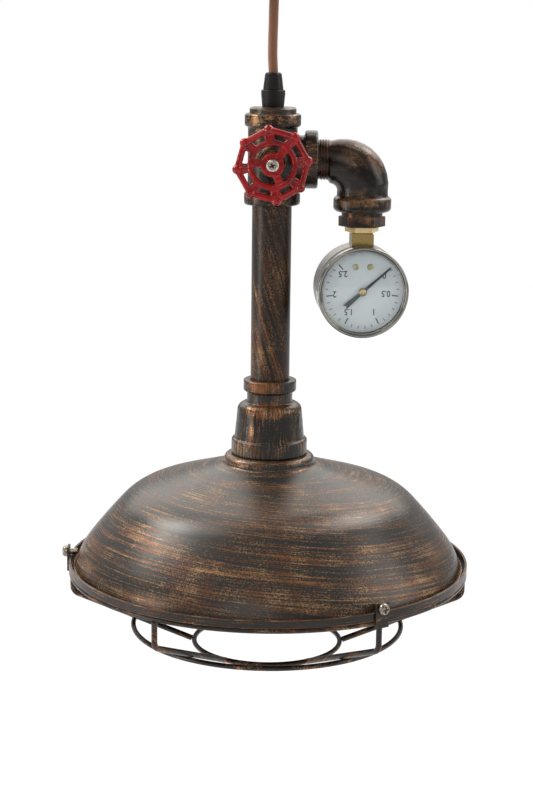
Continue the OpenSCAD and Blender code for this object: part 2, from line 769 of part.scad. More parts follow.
module handwheel() {
    step = 360 / wheel_lobes;
    color(red) facing_front(0, tee_z) difference() {
        union() {
            translate([0, 0, -hub_back_y]) cylinder(r = hub_r, h = hub_h);
            translate([0, 0, -wheel_y]) {
                rotate_extrude() translate([inner_ring_r - inner_ring_w / 2, -inner_ring_h / 2])
                    polygon([[0, 0], [inner_ring_w, 0], [inner_ring_w, inner_ring_h - chamfer],
                        [inner_ring_w - chamfer, inner_ring_h], [chamfer, inner_ring_h],
                        [0, inner_ring_h - chamfer]]);
                for (i = [0:wheel_spokes - 1]) rotate([0, 0, wheel_spoke_phase + 360 * i / wheel_spokes])
                    translate([hub_r - cut, -wheel_spoke_w / 2, -wheel_spoke_h / 2])
                        cube([inner_ring_r - hub_r + cut, wheel_spoke_w, wheel_spoke_h]);
                for (i = [0:wheel_lobes - 1]) rotate([0, 0, wheel_phase + step * i]) {
                    translate([wheel_r, 0, 0]) sphere(r = lobe_r, $fn = 32);
                    wheel_bar([wheel_r, 0], [wheel_r * cos(step), wheel_r * sin(step)], rim_bar_r);
                    for (side = [-1, 1])
                        wheel_bar([inner_ring_r, side * ridge_gap], [wheel_r, side * ridge_flare], ridge_r);
                }
            }
        }
        translate([-stem_square_w / 2 - running, -stem_square_w / 2 - running, -hub_back_y - cut])
            cube([stem_square_w + 2 * running, stem_square_w + 2 * running, hub_h + 2 * cut]);
    }
}

module wheel_screw() {
    color(zinc) facing_front(0, tee_z) translate([0, 0, -hub_face_y]) difference() {
        pan_screw(wheel_screw_r, wheel_screw_l, wheel_screw_head_r, wheel_screw_head_h);
        cross_recess(wheel_screw_head_r, wheel_screw_head_h);
    }
}

function elbow_ring(x, z, dir, r) = sweep_ring(x, z, dir, r, elbow_sides);
// Ring of the bend at a share of its quarter turn about the inner corner
function bend_ring(share, near, far) = let (dir = -90 * share, r = (far - near) / 2, c = (far + near) / 2)
    elbow_ring(elbow_inner_x - c * sin(dir), elbow_inner_z + c * cos(dir), dir, r);

module elbow() {
    male_far = elbow_top - elbow_inner_z;
    male_near = -elbow_under - elbow_inner_z;
    leg_far = elbow_inner_gap + 2 * elbow_r;
    leg_shift = elbow_inner_gap + elbow_r + elbow_inner_z;
    male_x = tee_half - socket_depth + end_gap;
    band_top = -elbow_drop + elbow_band_h;
    turn = [for (i = [0:elbow_steps]) i / elbow_steps];
    bore_mid = -elbow_inner_z;
    outer = concat(
        [elbow_ring(male_x, 0, 0, thread_r), elbow_ring(elbow_body_x, 0, 0, thread_r)],
        [for (s = turn) bend_ring(s, male_near + (elbow_inner_gap - male_near) * s,
            male_far + (leg_far - male_far) * sin(90 * s) + elbow_swell * sin(180 * s))],
        [elbow_ring(arm_reach, band_top + chamfer, -90, elbow_r),
            elbow_ring(arm_reach, band_top, -90, elbow_band_r - chamfer),
            elbow_ring(arm_reach, band_top - chamfer, -90, elbow_band_r),
            elbow_ring(arm_reach, -elbow_drop + elbow_foot, -90, elbow_band_r),
            elbow_ring(arm_reach, -elbow_drop, -90, elbow_band_r - elbow_foot)]);
    inner = concat(
        [elbow_ring(arm_reach, -elbow_drop, -90, socket_r),
            elbow_ring(arm_reach, -elbow_drop + elbow_thread_depth, -90, socket_r)],
        [for (s = reversed(turn)) bend_ring(s, bore_mid - elbow_bore_r + s * leg_shift,
            bore_mid + elbow_bore_r + s * leg_shift)],
        [elbow_ring(male_x, 0, 0, elbow_bore_r)]);
    rings = concat(outer, inner);
    color(bronze) translate([0, 0, tee_z])
        polyhedron([for (ring = rings, p = ring) p], skin_faces(len(rings), elbow_sides, false));
}

module reducing_bushing() {
    color(bronze) translate([arm_reach, 0, 0]) difference() {
        union() {
            translate([0, 0, elbow_mouth_z - cut]) cylinder(r = thread_r, h = elbow_thread_depth - fit);
            translate([0, 0, elbow_mouth_z - bushing_neck_h])
                cylinder(r = bushing_neck_r, h = bushing_neck_h);
            hex_prism(bushing_af, bushing_low_z, elbow_mouth_z - bushing_neck_h);
        }
        translate([0, 0, bushing_low_z - cut])
            cylinder(r = connector_thread_r + fit, h = bushing_h + elbow_thread_depth + cut);
    }
}

module gauge_connector() {
    square_half = stem_square / 2;
    color(brass) translate([arm_reach, 0, 0]) rotate([0, 0, gauge_yaw]) difference() {
        union() {
            translate([0, 0, bushing_low_z - cut]) cylinder(r = connector_thread_r, h = bushing_h);
            hex_prism(connector_af, connector_low_z, bushing_low_z);
            translate([0, 0, connector_low_z - connector_cone_h])
                cylinder(r1 = square_half, r2 = connector_af / 2, h = connector_cone_h);
            translate([-square_half, -square_half, stem_low_z]) cube([stem_square, stem_square, stem_length]);
        }
        translate([0, 0, stem_low_z - cut])
            cylinder(r = connector_bore_r, h = bushing_low_z + bushing_h - stem_low_z + 2 * cut);
        // The stem's foot follows the round case that it is soldered to
        translate([0, 0, gauge_z]) rotate([90, 0, 0])
            cylinder(r = case_r + weld_gap, h = 2 * stem_square, center = true);
        // Step that clears the bezel's skirt
        facing_front(0, gauge_z) translate([0, 0, -case_front_y - bezel_overlap - fit])
            cylinder(r = bezel_r + fit, h = stem_square);
    }
}

module gauge_case() {
    back = -gauge_back_y;
    color(steel) at_gauge() difference() {
        rotate_extrude() difference() {
            union() {
                translate([0, back + case_edge_r]) square([case_r, case_depth - case_edge_r]);
                translate([0, back]) square([case_r - case_edge_r, case_depth]);
                translate([case_r - case_edge_r, back + case_edge_r]) circle(r = case_edge_r);
            }
            translate([0, back + gauge_wall]) square([case_r - case_edge_r, case_depth]);
            translate([0, back + case_edge_r]) square([case_r - gauge_wall, case_depth]);
            translate([case_r - case_edge_r, back + case_edge_r]) circle(r = case_edge_r - gauge_wall);
            translate([-case_r, back - cut]) square([case_r, 2 * case_depth]);
        }
        rotate([-90, 0, 0]) cylinder(r = connector_bore_r, h = 2 * case_r);
    }
}

module gauge_bezel() {
    front = -bezel_front_y;
    back = -case_front_y - bezel_overlap;
    ring_mid = bezel_r - bezel_w / 2;
    color(steel) at_gauge() rotate_extrude() union() {
        translate([case_r + running, back]) square([bezel_lip - running, front - back - bezel_w / 2]);
        difference() {
            translate([ring_mid, front - bezel_w / 2]) circle(r = bezel_w / 2);
            translate([0, back]) square([bezel_r - gauge_wall, front - back - bezel_w / 2]);
        }
    }
}

module gauge_lens() {
    color([0.85, 0.92, 0.95, 0.35]) at_gauge() translate([0, 0, -lens_back_y])
        cylinder(r = bezel_r - gauge_wall - fit, h = lens_t);
}

module gauge_dial() {
    color(white) at_gauge() difference() {
        translate([0, 0, -dial_face_y - dial_t]) cylinder(r = dial_r, h = dial_t);
        translate([0, 0, -dial_face_y - dial_t - cut]) cylinder(r = arbor_r + pass_gap, h = dial_t + 2 * cut);
        for (side = [-1, 1]) translate([side * dial_screw_x, dial_screw_rise, -dial_face_y - dial_t - cut])
            cylinder(r = dial_screw_shank_r + fit, h = dial_t + 2 * cut);
    }
}

module dial_screw(side) {
    color(brass) at_gauge()
        translate([side * dial_screw_x, dial_screw_rise, -dial_face_y])
            pan_screw(dial_screw_shank_r, dial_screw_l, dial_screw_r, dial_screw_head_h);
}

module dial_screw_left() { dial_screw(-1); }
module dial_screw_right() { dial_screw(1); }

module gauge_movement() {
    neck_top = case_r - gauge_wall - fit;
    depth = movement_back_y - movement_front_y;
    color(brass) at_gauge() difference() {
        union() {
            translate([0, 0, -movement_back_y]) cylinder(r = movement_r, h = depth);
            intersection() {
                translate([-movement_neck_w / 2, 0, -movement_front_y - movement_neck_d])
                    cube([movement_neck_w, case_r, movement_neck_d]);
                translate([0, 0, -movement_back_y]) cylinder(r = neck_top, h = depth);
            }
        }
        translate([0, 0, -movement_front_y - arbor_l - pass_gap])
            cylinder(r = arbor_r + running, h = arbor_l + 2 * cut);
        for (side = [-1, 1])
            translate([side * dial_screw_x, dial_screw_rise, -movement_front_y - dial_screw_l - cut])
                cylinder(r = dial_screw_shank_r + fit, h = dial_screw_l + 2 * cut);
    }
}

module gauge_pointer() {
    color(black) at_gauge() rotate([0, 0, pointer_angle]) union() {
        translate([0, 0, -movement_front_y - arbor_l])
            cylinder(r = arbor_r, h = arbor_l + movement_front_y - pointer_face_y);
        translate([0, 0, -pointer_face_y]) {
            cylinder(r = pointer_hub_r, h = pointer_hub_h);
            linear_extrude(pointer_t) polygon([[-pointer_tail, -pointer_tail_half],
                [-pointer_tail + pointer_notch, 0], [-pointer_tail, pointer_tail_half],
                [0, pointer_root_half], [pointer_mid, pointer_mid_half],
                [pointer_neck, pointer_neck_half], [pointer_tip, pointer_end_half],
                [pointer_tip, -pointer_end_half], [pointer_neck, -pointer_neck_half],
                [pointer_mid, -pointer_mid_half], [0, -pointer_root_half]]);
        }
    }
}

module pipe() {
    color(bronze) union() {
        tube(pipe_r, pipe_bore_r, coupling_top_z, tee_low_z);
        tube(thread_r, pipe_bore_r, tee_low_z, pipe_top_z);
        tube(thread_r, pipe_bore_r, pipe_low_z, coupling_top_z);
    }
}

module bell_coupling() {
    top = coupling_top_z;
    low = coupling_low_z;
    bell_low_r = bell_r + bell_flare;
    band_z = low + coupling_low_h;
    shoulder_z = top - bell_start - bell_round;
    shoulder = [for (i = [0:arc_steps]) let (a = 90 * i / arc_steps)
        [bell_r - bell_round + bell_round * sin(a), shoulder_z + bell_round * cos(a)]];
    color(bronze) difference() {
        union() {
            rotate_extrude() polygon(concat([[passage_r, top], [coupling_top_r - chamfer, top],
                [coupling_top_r, top - chamfer], [coupling_top_r, top - coupling_top_h + chamfer],
                [coupling_top_r - chamfer, top - coupling_top_h], [coupling_neck_r, top - coupling_top_h],
                [coupling_neck_r, top - bell_start]], shoulder, [[bell_low_r, band_z],
                [coupling_low_r - chamfer, band_z], [coupling_low_r, band_z - chamfer],
                [coupling_low_r, low + chamfer], [coupling_low_r - chamfer, low], [bush_socket_r, low],
                [bush_socket_r, low + bush_socket_h],
                [passage_r, low + bush_socket_h + bush_socket_r - passage_r]]));
            for (i = [0:coupling_ribs - 1]) rotate([0, 0, rib_phase + 360 * i / coupling_ribs])
                translate([bush_socket_r + rib_root, -rib_w / 2, band_z - cut])
                    cube([bell_r + rib_out - bush_socket_r - rib_root, rib_w, shoulder_z - band_z + cut]);
        }
        translate([0, 0, top - socket_depth]) cylinder(r = socket_r, h = socket_depth + cut);
    }
}

module shade() {
    bead = [for (i = [0:arc_steps]) let (a = bead_from - (bead_from - bead_to) * i / arc_steps)
        bead_c + rim_bead_r * [cos(a), sin(a)]];
    color(bronze) rotate_extrude()
        polygon(concat(inset(shade_profile, 0), bead, reversed(inset(shade_profile, shade_wall))));
}

module shade_bush() {
    color(bronze) union() {
        tube(bush_thread_r, bush_bore_r, bush_flange_z, bush_top_z);
        tube(bush_flange_r, bush_bore_r, bush_flange_z - bush_flange_h, bush_flange_z);
    }
}

module lampholder_body() {
    color(black) difference() {
        union() {
            translate([0, 0, holder_low_z]) cylinder(r = holder_r, h = holder_h);
            translate([0, 0, holder_top_z]) cylinder(r = holder_spigot_r, h = holder_spigot_h);
        }
        translate([0, 0, holder_low_z - cut]) cylinder(r = holder_bore_r, h = holder_h - holder_floor + cut);
        translate([0, 0, holder_low_z]) cylinder(r = holder_wire_r, h = holder_h + 2 * holder_spigot_h);
    }
}

module screw_shell() {
    color(brass) tube(shell_r, shell_r - shell_wall, shell_low_z, shell_low_z + shell_h);
}

module centre_contact() {
    contact_z = holder_top_z - holder_floor;
    color(brass) union() {
        translate([0, 0, contact_z - contact_h]) cylinder(r = contact_r, h = contact_h);
        translate([0, 0, contact_z]) cylinder(r = holder_wire_r - fit, h = flex_low_z - contact_z);
    }
}

module guard_band() {
    color(bronze) tube(guard_r, band_inner_r, band_low_z, guard_top_z);
}

module wire_ring(r, z, wire) {
    color(bronze) translate([0, 0, z]) rotate_extrude() translate([r, 0]) circle(r = wire, $fn = 32);
}

module guard_rim_wire() { wire_ring(rim_wire_r, rim_wire_z, ring_wire_r); }
module guard_middle_ring() { wire_ring(middle_ring_r, middle_ring_z, ring_wire_r); }
module guard_inner_ring() { wire_ring(small_ring_r, small_ring_z, ring_wire_r); }

// Wire from the rim straight down, round its bend and inward to the inner ring
module guard_strut(i) {
    bend_turn = 90 - strut_angle;
    tangent = strut_bend * tan(bend_turn / 2);
    bend_z = strut_corner_z + tangent;
    end_r = small_ring_r + (ring_wire_r + weld_gap) * cos(strut_angle);
    end_z = small_ring_z + (ring_wire_r + weld_gap) * sin(strut_angle);
    rings = concat([sweep_ring(strut_r, strut_top_z, -90, strut_wire_r, wire_sides)],
        [for (k = [0:bend_steps]) let (turn = bend_turn * k / bend_steps)
            sweep_ring(strut_r - strut_bend + strut_bend * cos(turn), bend_z - strut_bend * sin(turn),
                -90 - turn, strut_wire_r, wire_sides)],
        [sweep_ring(end_r, end_z, -90 - bend_turn, strut_wire_r, wire_sides)]);
    color(bronze) rotate([0, 0, strut_azimuths[i - 1]])
        polyhedron([for (ring = rings, p = ring) p], skin_faces(len(rings), wire_sides, true));
}

module guard_strut_1() { guard_strut(1); }
module guard_strut_2() { guard_strut(2); }
module guard_strut_3() { guard_strut(3); }
module guard_strut_4() { guard_strut(4); }
module guard_strut_5() { guard_strut(5); }
module guard_strut_6() { guard_strut(6); }

// Upright tab welded to the outside of the band, with a tapped hole above the band
module guard_tab(i) {
    color(bronze) rotate([0, 0, tab_azimuths[i - 1]]) difference() {
        intersection() {
            tube(tab_r + guard_band_t, tab_r, tab_z - tab_h, tab_z);
            translate([0, -tab_w / 2, tab_z - tab_h]) cube([2 * guard_r, tab_w, tab_h]);
        }
        translate([0, 0, tab_screw_z]) rotate([0, 90, 0])
            cylinder(r = clamp_screw_r + running, h = 2 * guard_r);
    }
}

module guard_tab_1() { guard_tab(1); }
module guard_tab_2() { guard_tab(2); }
module guard_tab_3() { guard_tab(3); }

module clamp_screw(i) {
    seat_r = tab_r + guard_band_t;
    color(zinc) rotate([0, 0, tab_azimuths[i - 1]]) translate([seat_r, 0, tab_screw_z]) rotate([0, 90, 0])
    difference() {
        pan_screw(clamp_screw_r, seat_r - clamp_tip_r, clamp_head_r, clamp_head_h);
        cross_recess(clamp_head_r, clamp_head_h);
    }
}

module clamp_screw_1() { clamp_screw(1); }
module clamp_screw_2() { clamp_screw(2); }
module clamp_screw_3() { clamp_screw(3); }

ceiling_bracket();
terminal_block();
ceiling_canopy();
canopy_screw_left();
canopy_screw_right();
ceiling_grip();
ceiling_grip_nut();
canopy_lead();
cord();
cord_grip_cap();
cord_grip_body();
threaded_nipple();
nipple_nut();
top_plug();
supply_flex();
tee();
valve_gland();
valve_stem();
handwheel();
wheel_screw();
elbow();
reducing_bushing();
gauge_connector();
gauge_case();
gauge_bezel();
gauge_lens();
gauge_dial();
dial_screw_left();
dial_screw_right();
gauge_movement();
gauge_pointer();
pipe();
bell_coupling();
shade();
shade_bush();
lampholder_body();
screw_shell();
centre_contact();
guard_band();
guard_rim_wire();
guard_strut_1();
guard_strut_2();
guard_strut_3();
guard_strut_4();
guard_strut_5();
guard_strut_6();
guard_middle_ring();
guard_inner_ring();
guard_tab_1();
guard_tab_2();
guard_tab_3();
clamp_screw_1();
clamp_screw_2();
clamp_screw_3();
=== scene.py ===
# Looks of a pipe-style pendant lamp: finishes, cast fittings, dial print, cord and a plain studio
import json
import math

import bmesh
import bpy
import numpy as np
from mathutils import Matrix, Vector, noise


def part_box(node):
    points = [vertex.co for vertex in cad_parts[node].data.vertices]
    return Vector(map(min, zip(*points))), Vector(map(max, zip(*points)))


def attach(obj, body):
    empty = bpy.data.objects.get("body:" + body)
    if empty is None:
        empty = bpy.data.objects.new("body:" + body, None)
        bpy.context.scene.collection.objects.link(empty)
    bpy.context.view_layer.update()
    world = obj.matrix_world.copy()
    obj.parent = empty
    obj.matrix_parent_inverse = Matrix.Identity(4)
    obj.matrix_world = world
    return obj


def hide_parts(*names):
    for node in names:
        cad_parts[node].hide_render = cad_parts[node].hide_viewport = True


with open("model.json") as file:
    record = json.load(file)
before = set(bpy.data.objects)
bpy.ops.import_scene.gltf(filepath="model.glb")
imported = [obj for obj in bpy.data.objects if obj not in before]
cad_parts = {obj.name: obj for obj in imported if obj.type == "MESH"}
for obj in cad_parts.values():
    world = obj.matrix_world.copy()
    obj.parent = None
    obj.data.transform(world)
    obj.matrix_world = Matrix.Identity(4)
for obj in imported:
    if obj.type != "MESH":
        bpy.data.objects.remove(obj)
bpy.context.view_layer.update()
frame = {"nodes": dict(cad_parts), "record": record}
nodes = frame["nodes"]
scene = bpy.context.scene
scene.view_settings.view_transform = "Standard"
MM = 0.001
TURN = 2 * math.pi
RIGHT_ANGLE = 90.0
HALF_TURN = 180.0


# Turn about an axis by an angle in degrees
def rotation(angle, axis):
    return Matrix.Rotation(math.radians(angle), 4, axis)


def add_object(name, data):
    piece = bpy.data.objects.new(name, data)
    scene.collection.objects.link(piece)
    return piece


# Camera: place, tilt and lens worked out from the photograph's pipe edges and guard rings
CAMERA_PLACE = (-2.2 * MM, -1259.3 * MM, -47.3 * MM)
CAMERA_TILT = 12.03
CAMERA_ROLL = 0.645
CAMERA_SENSOR = 36.0
CAMERA_LENS = 83.43

camera_data = bpy.data.cameras.new("camera")
camera_data.sensor_fit = "VERTICAL"
camera_data.sensor_height = CAMERA_SENSOR
camera_data.lens = CAMERA_LENS
camera = add_object("camera", camera_data)
camera.matrix_world = (Matrix.Translation(CAMERA_PLACE) @ rotation(RIGHT_ANGLE - CAMERA_TILT, "X")
                       @ rotation(CAMERA_ROLL, "Z"))
scene.camera = camera

# Cord: the same run as the solid, in millimetres, from the lamp's grip up to the ceiling grip
CORD_D = 6.4 * MM
CORD_ROUTE = [(0, 0, -96), (0, 0, -92), (-0.25, 0, -88), (-0.5, 0, -84), (-0.65, 0, -80), (-0.7, 0, -76),
              (-0.65, 0, -72), (-0.6, 0, -68), (-0.5, 0, -64), (-0.4, 0, -60), (-0.35, 0, -56),
              (-0.3, 0, -52), (-0.2, 0, -48), (-0.1, 0, -44), (0, 0, -40), (0, 0, -36)]
CORD_PATH = [tuple(c * MM for c in place) for place in CORD_ROUTE]
CORD_BEVEL_STEPS = 8


# Mesh of a curve, a text or an object with modifiers, as it stands
def baked(holder, name):
    graph = bpy.context.evaluated_depsgraph_get()
    mesh = bpy.data.meshes.new_from_object(holder.evaluated_get(graph))
    mesh.name = name
    return mesh


def make_cord():
    curve = bpy.data.curves.new("cord_sleeve", "CURVE")
    curve.dimensions = "3D"
    curve.bevel_depth = CORD_D / 2
    curve.bevel_resolution = CORD_BEVEL_STEPS
    curve.use_fill_caps = True
    spline = curve.splines.new("POLY")
    spline.points.add(len(CORD_PATH) - 1)
    for point, place in zip(spline.points, CORD_PATH):
        point.co = (*place, 1)
    holder = add_object("cord_route", curve)
    mesh = baked(holder, "cord_sleeve")
    bpy.data.objects.remove(holder)
    mesh.shade_smooth()
    return add_object("cord_sleeve", mesh)


cord = make_cord()
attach(cord, "lamp")
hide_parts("cord")

# Numbers of a mix node's colour sockets, the range that noise seldom leaves, and samples of a rounded edge
MIX_FIRST = 6
MIX_SECOND = 7
MIX_RESULT = 2
NOISE_LOW = 0.2
NOISE_MIDDLE = 0.5
NOISE_HIGH = 0.8
BEVEL_SAMPLES = 6


# Short calls for the nodes of a material or of the world
class Graph:
    def __init__(self, owner):
        self.owner = owner
        owner.use_nodes = True
        self.tree = owner.node_tree
        self.tree.nodes.clear()

    def feed(self, socket, value):
        if isinstance(value, bpy.types.NodeSocket):
            self.tree.links.new(value, socket)
        else:
            socket.default_value = value

    def add(self, kind, inputs=None, **settings):
        node = self.tree.nodes.new("ShaderNode" + kind)
        for key, value in settings.items():
            setattr(node, key, value)
        for key, value in (inputs or {}).items():
            self.feed(node.inputs[key], value)
        return node

    def math(self, operation, a, b=0.0):
        return self.add("Math", {0: a, 1: b}, operation=operation).outputs[0]

    def plus(self, a, b):
        return self.math("ADD", a, b)

    def minus(self, a, b):
        return self.math("SUBTRACT", a, b)

    def times(self, a, b):
        return self.math("MULTIPLY", a, b)

    def vector(self, x, y, z):
        return self.add("CombineXYZ", {0: x, 1: y, 2: z}).outputs[0]

    def place(self):
        return self.add("TexCoord").outputs["Object"]

    def split(self, vector):
        return self.add("SeparateXYZ", {0: vector}).outputs

    def noise(self, vector, scale, detail=3.0, rough=0.55):
        node = self.add("TexNoise", {"Vector": vector, "Scale": scale, "Detail": detail, "Roughness": rough})
        return node.outputs["Fac"]

    def ramp(self, value, low, high, out_low=0.0, out_high=1.0):
        node = self.add("MapRange", {"Value": value, "From Min": low, "From Max": high, "To Min": out_low,
                                     "To Max": out_high}, interpolation_type="SMOOTHSTEP")
        return node.outputs[0]

    # Value that wanders with a noise between two others
    def wander(self, value, least, most):
        return self.ramp(value, NOISE_LOW, NOISE_HIGH, least, most)

    def mix(self, amount, first, second):
        node = self.add("Mix", {"Factor": amount}, data_type="RGBA")
        self.feed(node.inputs[MIX_FIRST], first)
        self.feed(node.inputs[MIX_SECOND], second)
        return node.outputs[MIX_RESULT]

    # Two tones in patches: where a noise rises from low to high, the first gives way to the second
    def patches(self, vector, first, second, scale, low, high, detail=3.0):
        return self.mix(self.ramp(self.noise(vector, scale, detail), low, high), first, second)

    def bump(self, height, strength, distance):
        return self.add("Bump", {"Height": height, "Strength": strength, "Distance": distance}).outputs[0]

    # Share of a rubbed edge: how far a rounded normal leaves the face's own normal
    def edge(self, radius, low, high):
        rounded = self.add("Bevel", {"Radius": radius}, samples=BEVEL_SAMPLES).outputs[0]
        plain = self.add("NewGeometry").outputs["Normal"]
        dot = self.add("VectorMath", {0: rounded, 1: plain}, operation="DOT_PRODUCT").outputs["Value"]
        return self.ramp(self.minus(1.0, dot), low, high)

    def shader(self, **sockets):
        inputs = {key.replace("_", " "): value for key, value in sockets.items()}
        return self.add("BsdfPrincipled", inputs).outputs[0]

    def blend(self, share, first, second):
        return self.add("MixShader", {0: share, 1: first, 2: second}).outputs[0]

    def finish(self, shader, output="OutputMaterial"):
        self.add(output, {"Surface": shader})
        return self.owner


def paint(name):
    return Graph(bpy.data.materials.new(name))


# Linear colours from the eight-bit values that a picture shows
EIGHT_BIT = 255
SRGB_KNEE = 0.04045
SRGB_SLOPE = 12.92
SRGB_OFFSET = 0.055
SRGB_POWER = 2.4


def linear(value):
    share = value / EIGHT_BIT
    if share <= SRGB_KNEE:
        return share / SRGB_SLOPE
    return ((share + SRGB_OFFSET) / (1 + SRGB_OFFSET)) ** SRGB_POWER


def rgb(red, green, blue):
    return (linear(red), linear(green), linear(blue), 1.0)


# Antique bronze: tones, then how its brush strokes wander and spiral
DARK_SLATE = rgb(38, 43, 43)
DARK_BROWN = rgb(60, 46, 36)
DARK_UMBER = rgb(22, 18, 15)
COPPER = rgb(154, 97, 55)
PALE_COPPER = rgb(204, 158, 112)
SWAY_SCALE = 7.0
SWAY_REACH = 0.012
SPIRAL_SHIFT = 0.785
SPIRAL_INNER = 30.0 * MM
SPIRAL_OUTER = 75.0 * MM
# Layers of strokes: their number round and across as shares of the finish's own, and the noise's detail
FINE_STROKES = (2.2, 2.4, 4.0)
MAIN_STROKES = (1.0, 1.0, 3.0)
WIDE_STROKES = (0.8, 0.3, 2.0)
WIDE_WEIGHT = 0.7
PATCH_WEIGHT = 0.7
SPOT_DETAIL = 2.0
SPOT_ROUGH = 0.6
# A dab fades from its core to its edge, in squared shares of its half sizes, and a ring from its core to its
# half width
DAB_CORE = 0.1
DAB_EDGE = 1.2
RING_CORE = 0.5
COVER_REACH = 0.62
# Rubbed edges: their radius, how far the normal turns, and the patches in which they are rubbed
RUB_R = 1.2 * MM
RUB_TURN = (0.01, 0.14)
RUB_SCALE = 160.0
RUB_PATCHES = (0.30, 0.58)
VEIL_LEVEL = 0.35
VEIL_HALF = 0.16
COPPER_ROUGH = 0.10
COPPER_RELIEF = 0.5
COPPER_METAL = 0.65
STIPPLE_DEPTH = 0.12 * MM


# Dark satin paint, dry-brushed with copper. Strokes run round the axis, or upright with a twist in radians
# per metre. around and across are strokes per radian and per metre; patch and grain are spots per metre;
# cover is how much the copper takes, spread how softly it ends and strength how dense it is; veil is the
# brown over the dark paint; broad, lines and speck weigh the strokes, the fine strokes and the grain; stipple
# weighs the relief; spiral is how far the strokes rise and fall on their way round. A dab is (angle from the
# front, half length, run, half width, weight) and a ring is (run, half width, weight)
def bronze(name, around, across, upright=False, twist=0.0, cover=0.3, patch=16.0, grain=900.0, edge_wear=0.0,
           satin=0.38, strength=0.85, dark=DARK_UMBER, spiral=0.0, dabs=(), veil=0.5, stipple=0.3, spread=0.4,
           broad=0.9, lines=1.3, speck=1.3, rings=(), gloss=0.4):
    g = paint(name)
    where = g.place()
    x, y, z = g.split(where)
    angle = g.plus(g.math("ARCTAN2", y, x), g.times(z, twist))
    front = g.math("ARCTAN2", x, g.times(y, -1.0))
    if upright:
        plain = z
        run = z
    else:
        radius = g.math("SQRT", g.plus(g.times(x, x), g.times(y, y)))
        plain = g.minus(radius, z)
        turned = g.math("SINE", g.minus(front, SPIRAL_SHIFT))
        lag = g.times(turned, g.ramp(radius, SPIRAL_INNER, SPIRAL_OUTER, 0.0, spiral))
        sway = g.times(g.minus(g.noise(where, SWAY_SCALE, detail=1.0), NOISE_MIDDLE), SWAY_REACH)
        run = g.plus(g.minus(plain, lag), sway)

    def strokes(layer):
        turn, length, detail = layer
        flow = g.vector(g.times(g.math("COSINE", angle), around * turn),
                        g.times(g.math("SINE", angle), around * turn), g.times(run, across * length))
        return g.minus(g.noise(flow, 1.0, detail), NOISE_MIDDLE)

    def spots(scale):
        return g.minus(g.noise(where, scale, SPOT_DETAIL, SPOT_ROUGH), NOISE_MIDDLE)

    # Dabs and rings raise the copper, or lower it with a negative weight; some of them carry painted
    # highlight and painted shade
    def copper_and_light_dab(dab):
        turn, half_length, height, half_width, weight = dab
        along = g.math("DIVIDE", g.minus(front, turn), half_length)
        aside = g.math("DIVIDE", g.minus(run, height), half_width)
        off = g.plus(g.times(along, along), g.times(aside, aside))
        return g.ramp(off, DAB_CORE, DAB_EDGE, weight, 0.0)

    def copper_and_light_ring(ring):
        height, half_width, weight = ring
        off = g.math("ABSOLUTE", g.minus(plain, height))
        return g.ramp(off, half_width * RING_CORE, half_width, weight, 0.0)

    fine = strokes(FINE_STROKES)
    level = g.times(strokes(MAIN_STROKES), broad)
    layers = ((fine, lines), (strokes(WIDE_STROKES), WIDE_WEIGHT), (spots(patch), PATCH_WEIGHT),
              (spots(grain), speck))
    for layer, weight in layers:
        level = g.plus(level, g.times(layer, weight))
    for dab in dabs:
        level = g.plus(level, copper_and_light_dab(dab))
    for ring in rings:
        level = g.plus(level, copper_and_light_ring(ring))
    floor = COVER_REACH * (NOISE_MIDDLE - cover)
    copper = g.ramp(level, floor, floor + spread)
    if edge_wear:
        rubbed = g.times(g.edge(RUB_R, *RUB_TURN), edge_wear)
        rubbed = g.times(rubbed, g.ramp(g.noise(where, RUB_SCALE), *RUB_PATCHES))
        copper = g.math("MAXIMUM", copper, rubbed)
    thin = g.times(g.ramp(g.plus(fine, g.times(level, VEIL_LEVEL)), -VEIL_HALF, VEIL_HALF), veil)
    base = g.mix(thin, dark, DARK_BROWN)
    metal = g.patches(where, COPPER, PALE_COPPER, scale=70.0, low=0.38, high=0.68, detail=2.0)
    tone = g.mix(g.times(copper, strength), base, metal)
    rough = g.ramp(copper, 0.0, 1.0, satin, satin + COPPER_ROUGH)
    height = g.plus(g.times(copper, COPPER_RELIEF), g.noise(where, grain, SPOT_DETAIL))
    return g.finish(g.shader(Base_Color=tone, Roughness=rough, Metallic=g.times(copper, COPPER_METAL),
                             Specular_IOR_Level=gloss, Normal=g.bump(height, stipple, STIPPLE_DEPTH)))


# Bare metal, unevenly worn
METAL_ROUGH = (0.75, 1.35)


def plain_metal(name, colour, worn_colour, roughness, scale=300.0):
    g = paint(name)
    worn = g.noise(g.place(), scale, detail=4.0, rough=0.65)
    tone = g.mix(g.ramp(worn, low=0.35, high=0.7), colour, worn_colour)
    rough = g.wander(worn, *(roughness * share for share in METAL_ROUGH))
    return g.finish(g.shader(Base_Color=tone, Metallic=1.0, Roughness=rough,
                             Normal=g.bump(worn, strength=0.18, distance=0.06 * MM)))


# Moulded plastic with a fine grain and faint clouds. Flutes are ribs round the axis
PLASTIC_ROUGH = (0.85, 1.15)
PLASTIC_SHADE = 0.72
PLASTIC_CLOUD = 0.08
FLUTE_DEPTH = 1.6


def plastic(name, colour, roughness, scale, flutes=0.0, gloss=0.5):
    g = paint(name)
    where = g.place()
    grain = g.noise(where, scale, rough=0.6)
    if flutes:
        x, y, _ = g.split(where)
        wave = g.math("COSINE", g.times(g.math("ARCTAN2", y, x), flutes))
        grain = g.plus(grain, g.times(wave, FLUTE_DEPTH))
    shaded = (*(c * PLASTIC_SHADE for c in colour[:3]), 1.0)
    tone = g.patches(where, colour, shaded, scale=scale * PLASTIC_CLOUD, low=0.3, high=0.7)
    rough = g.wander(grain, *(roughness * share for share in PLASTIC_ROUGH))
    return g.finish(g.shader(Base_Color=tone, Roughness=rough, Specular_IOR_Level=gloss,
                             Normal=g.bump(grain, strength=0.22, distance=0.08 * MM)))
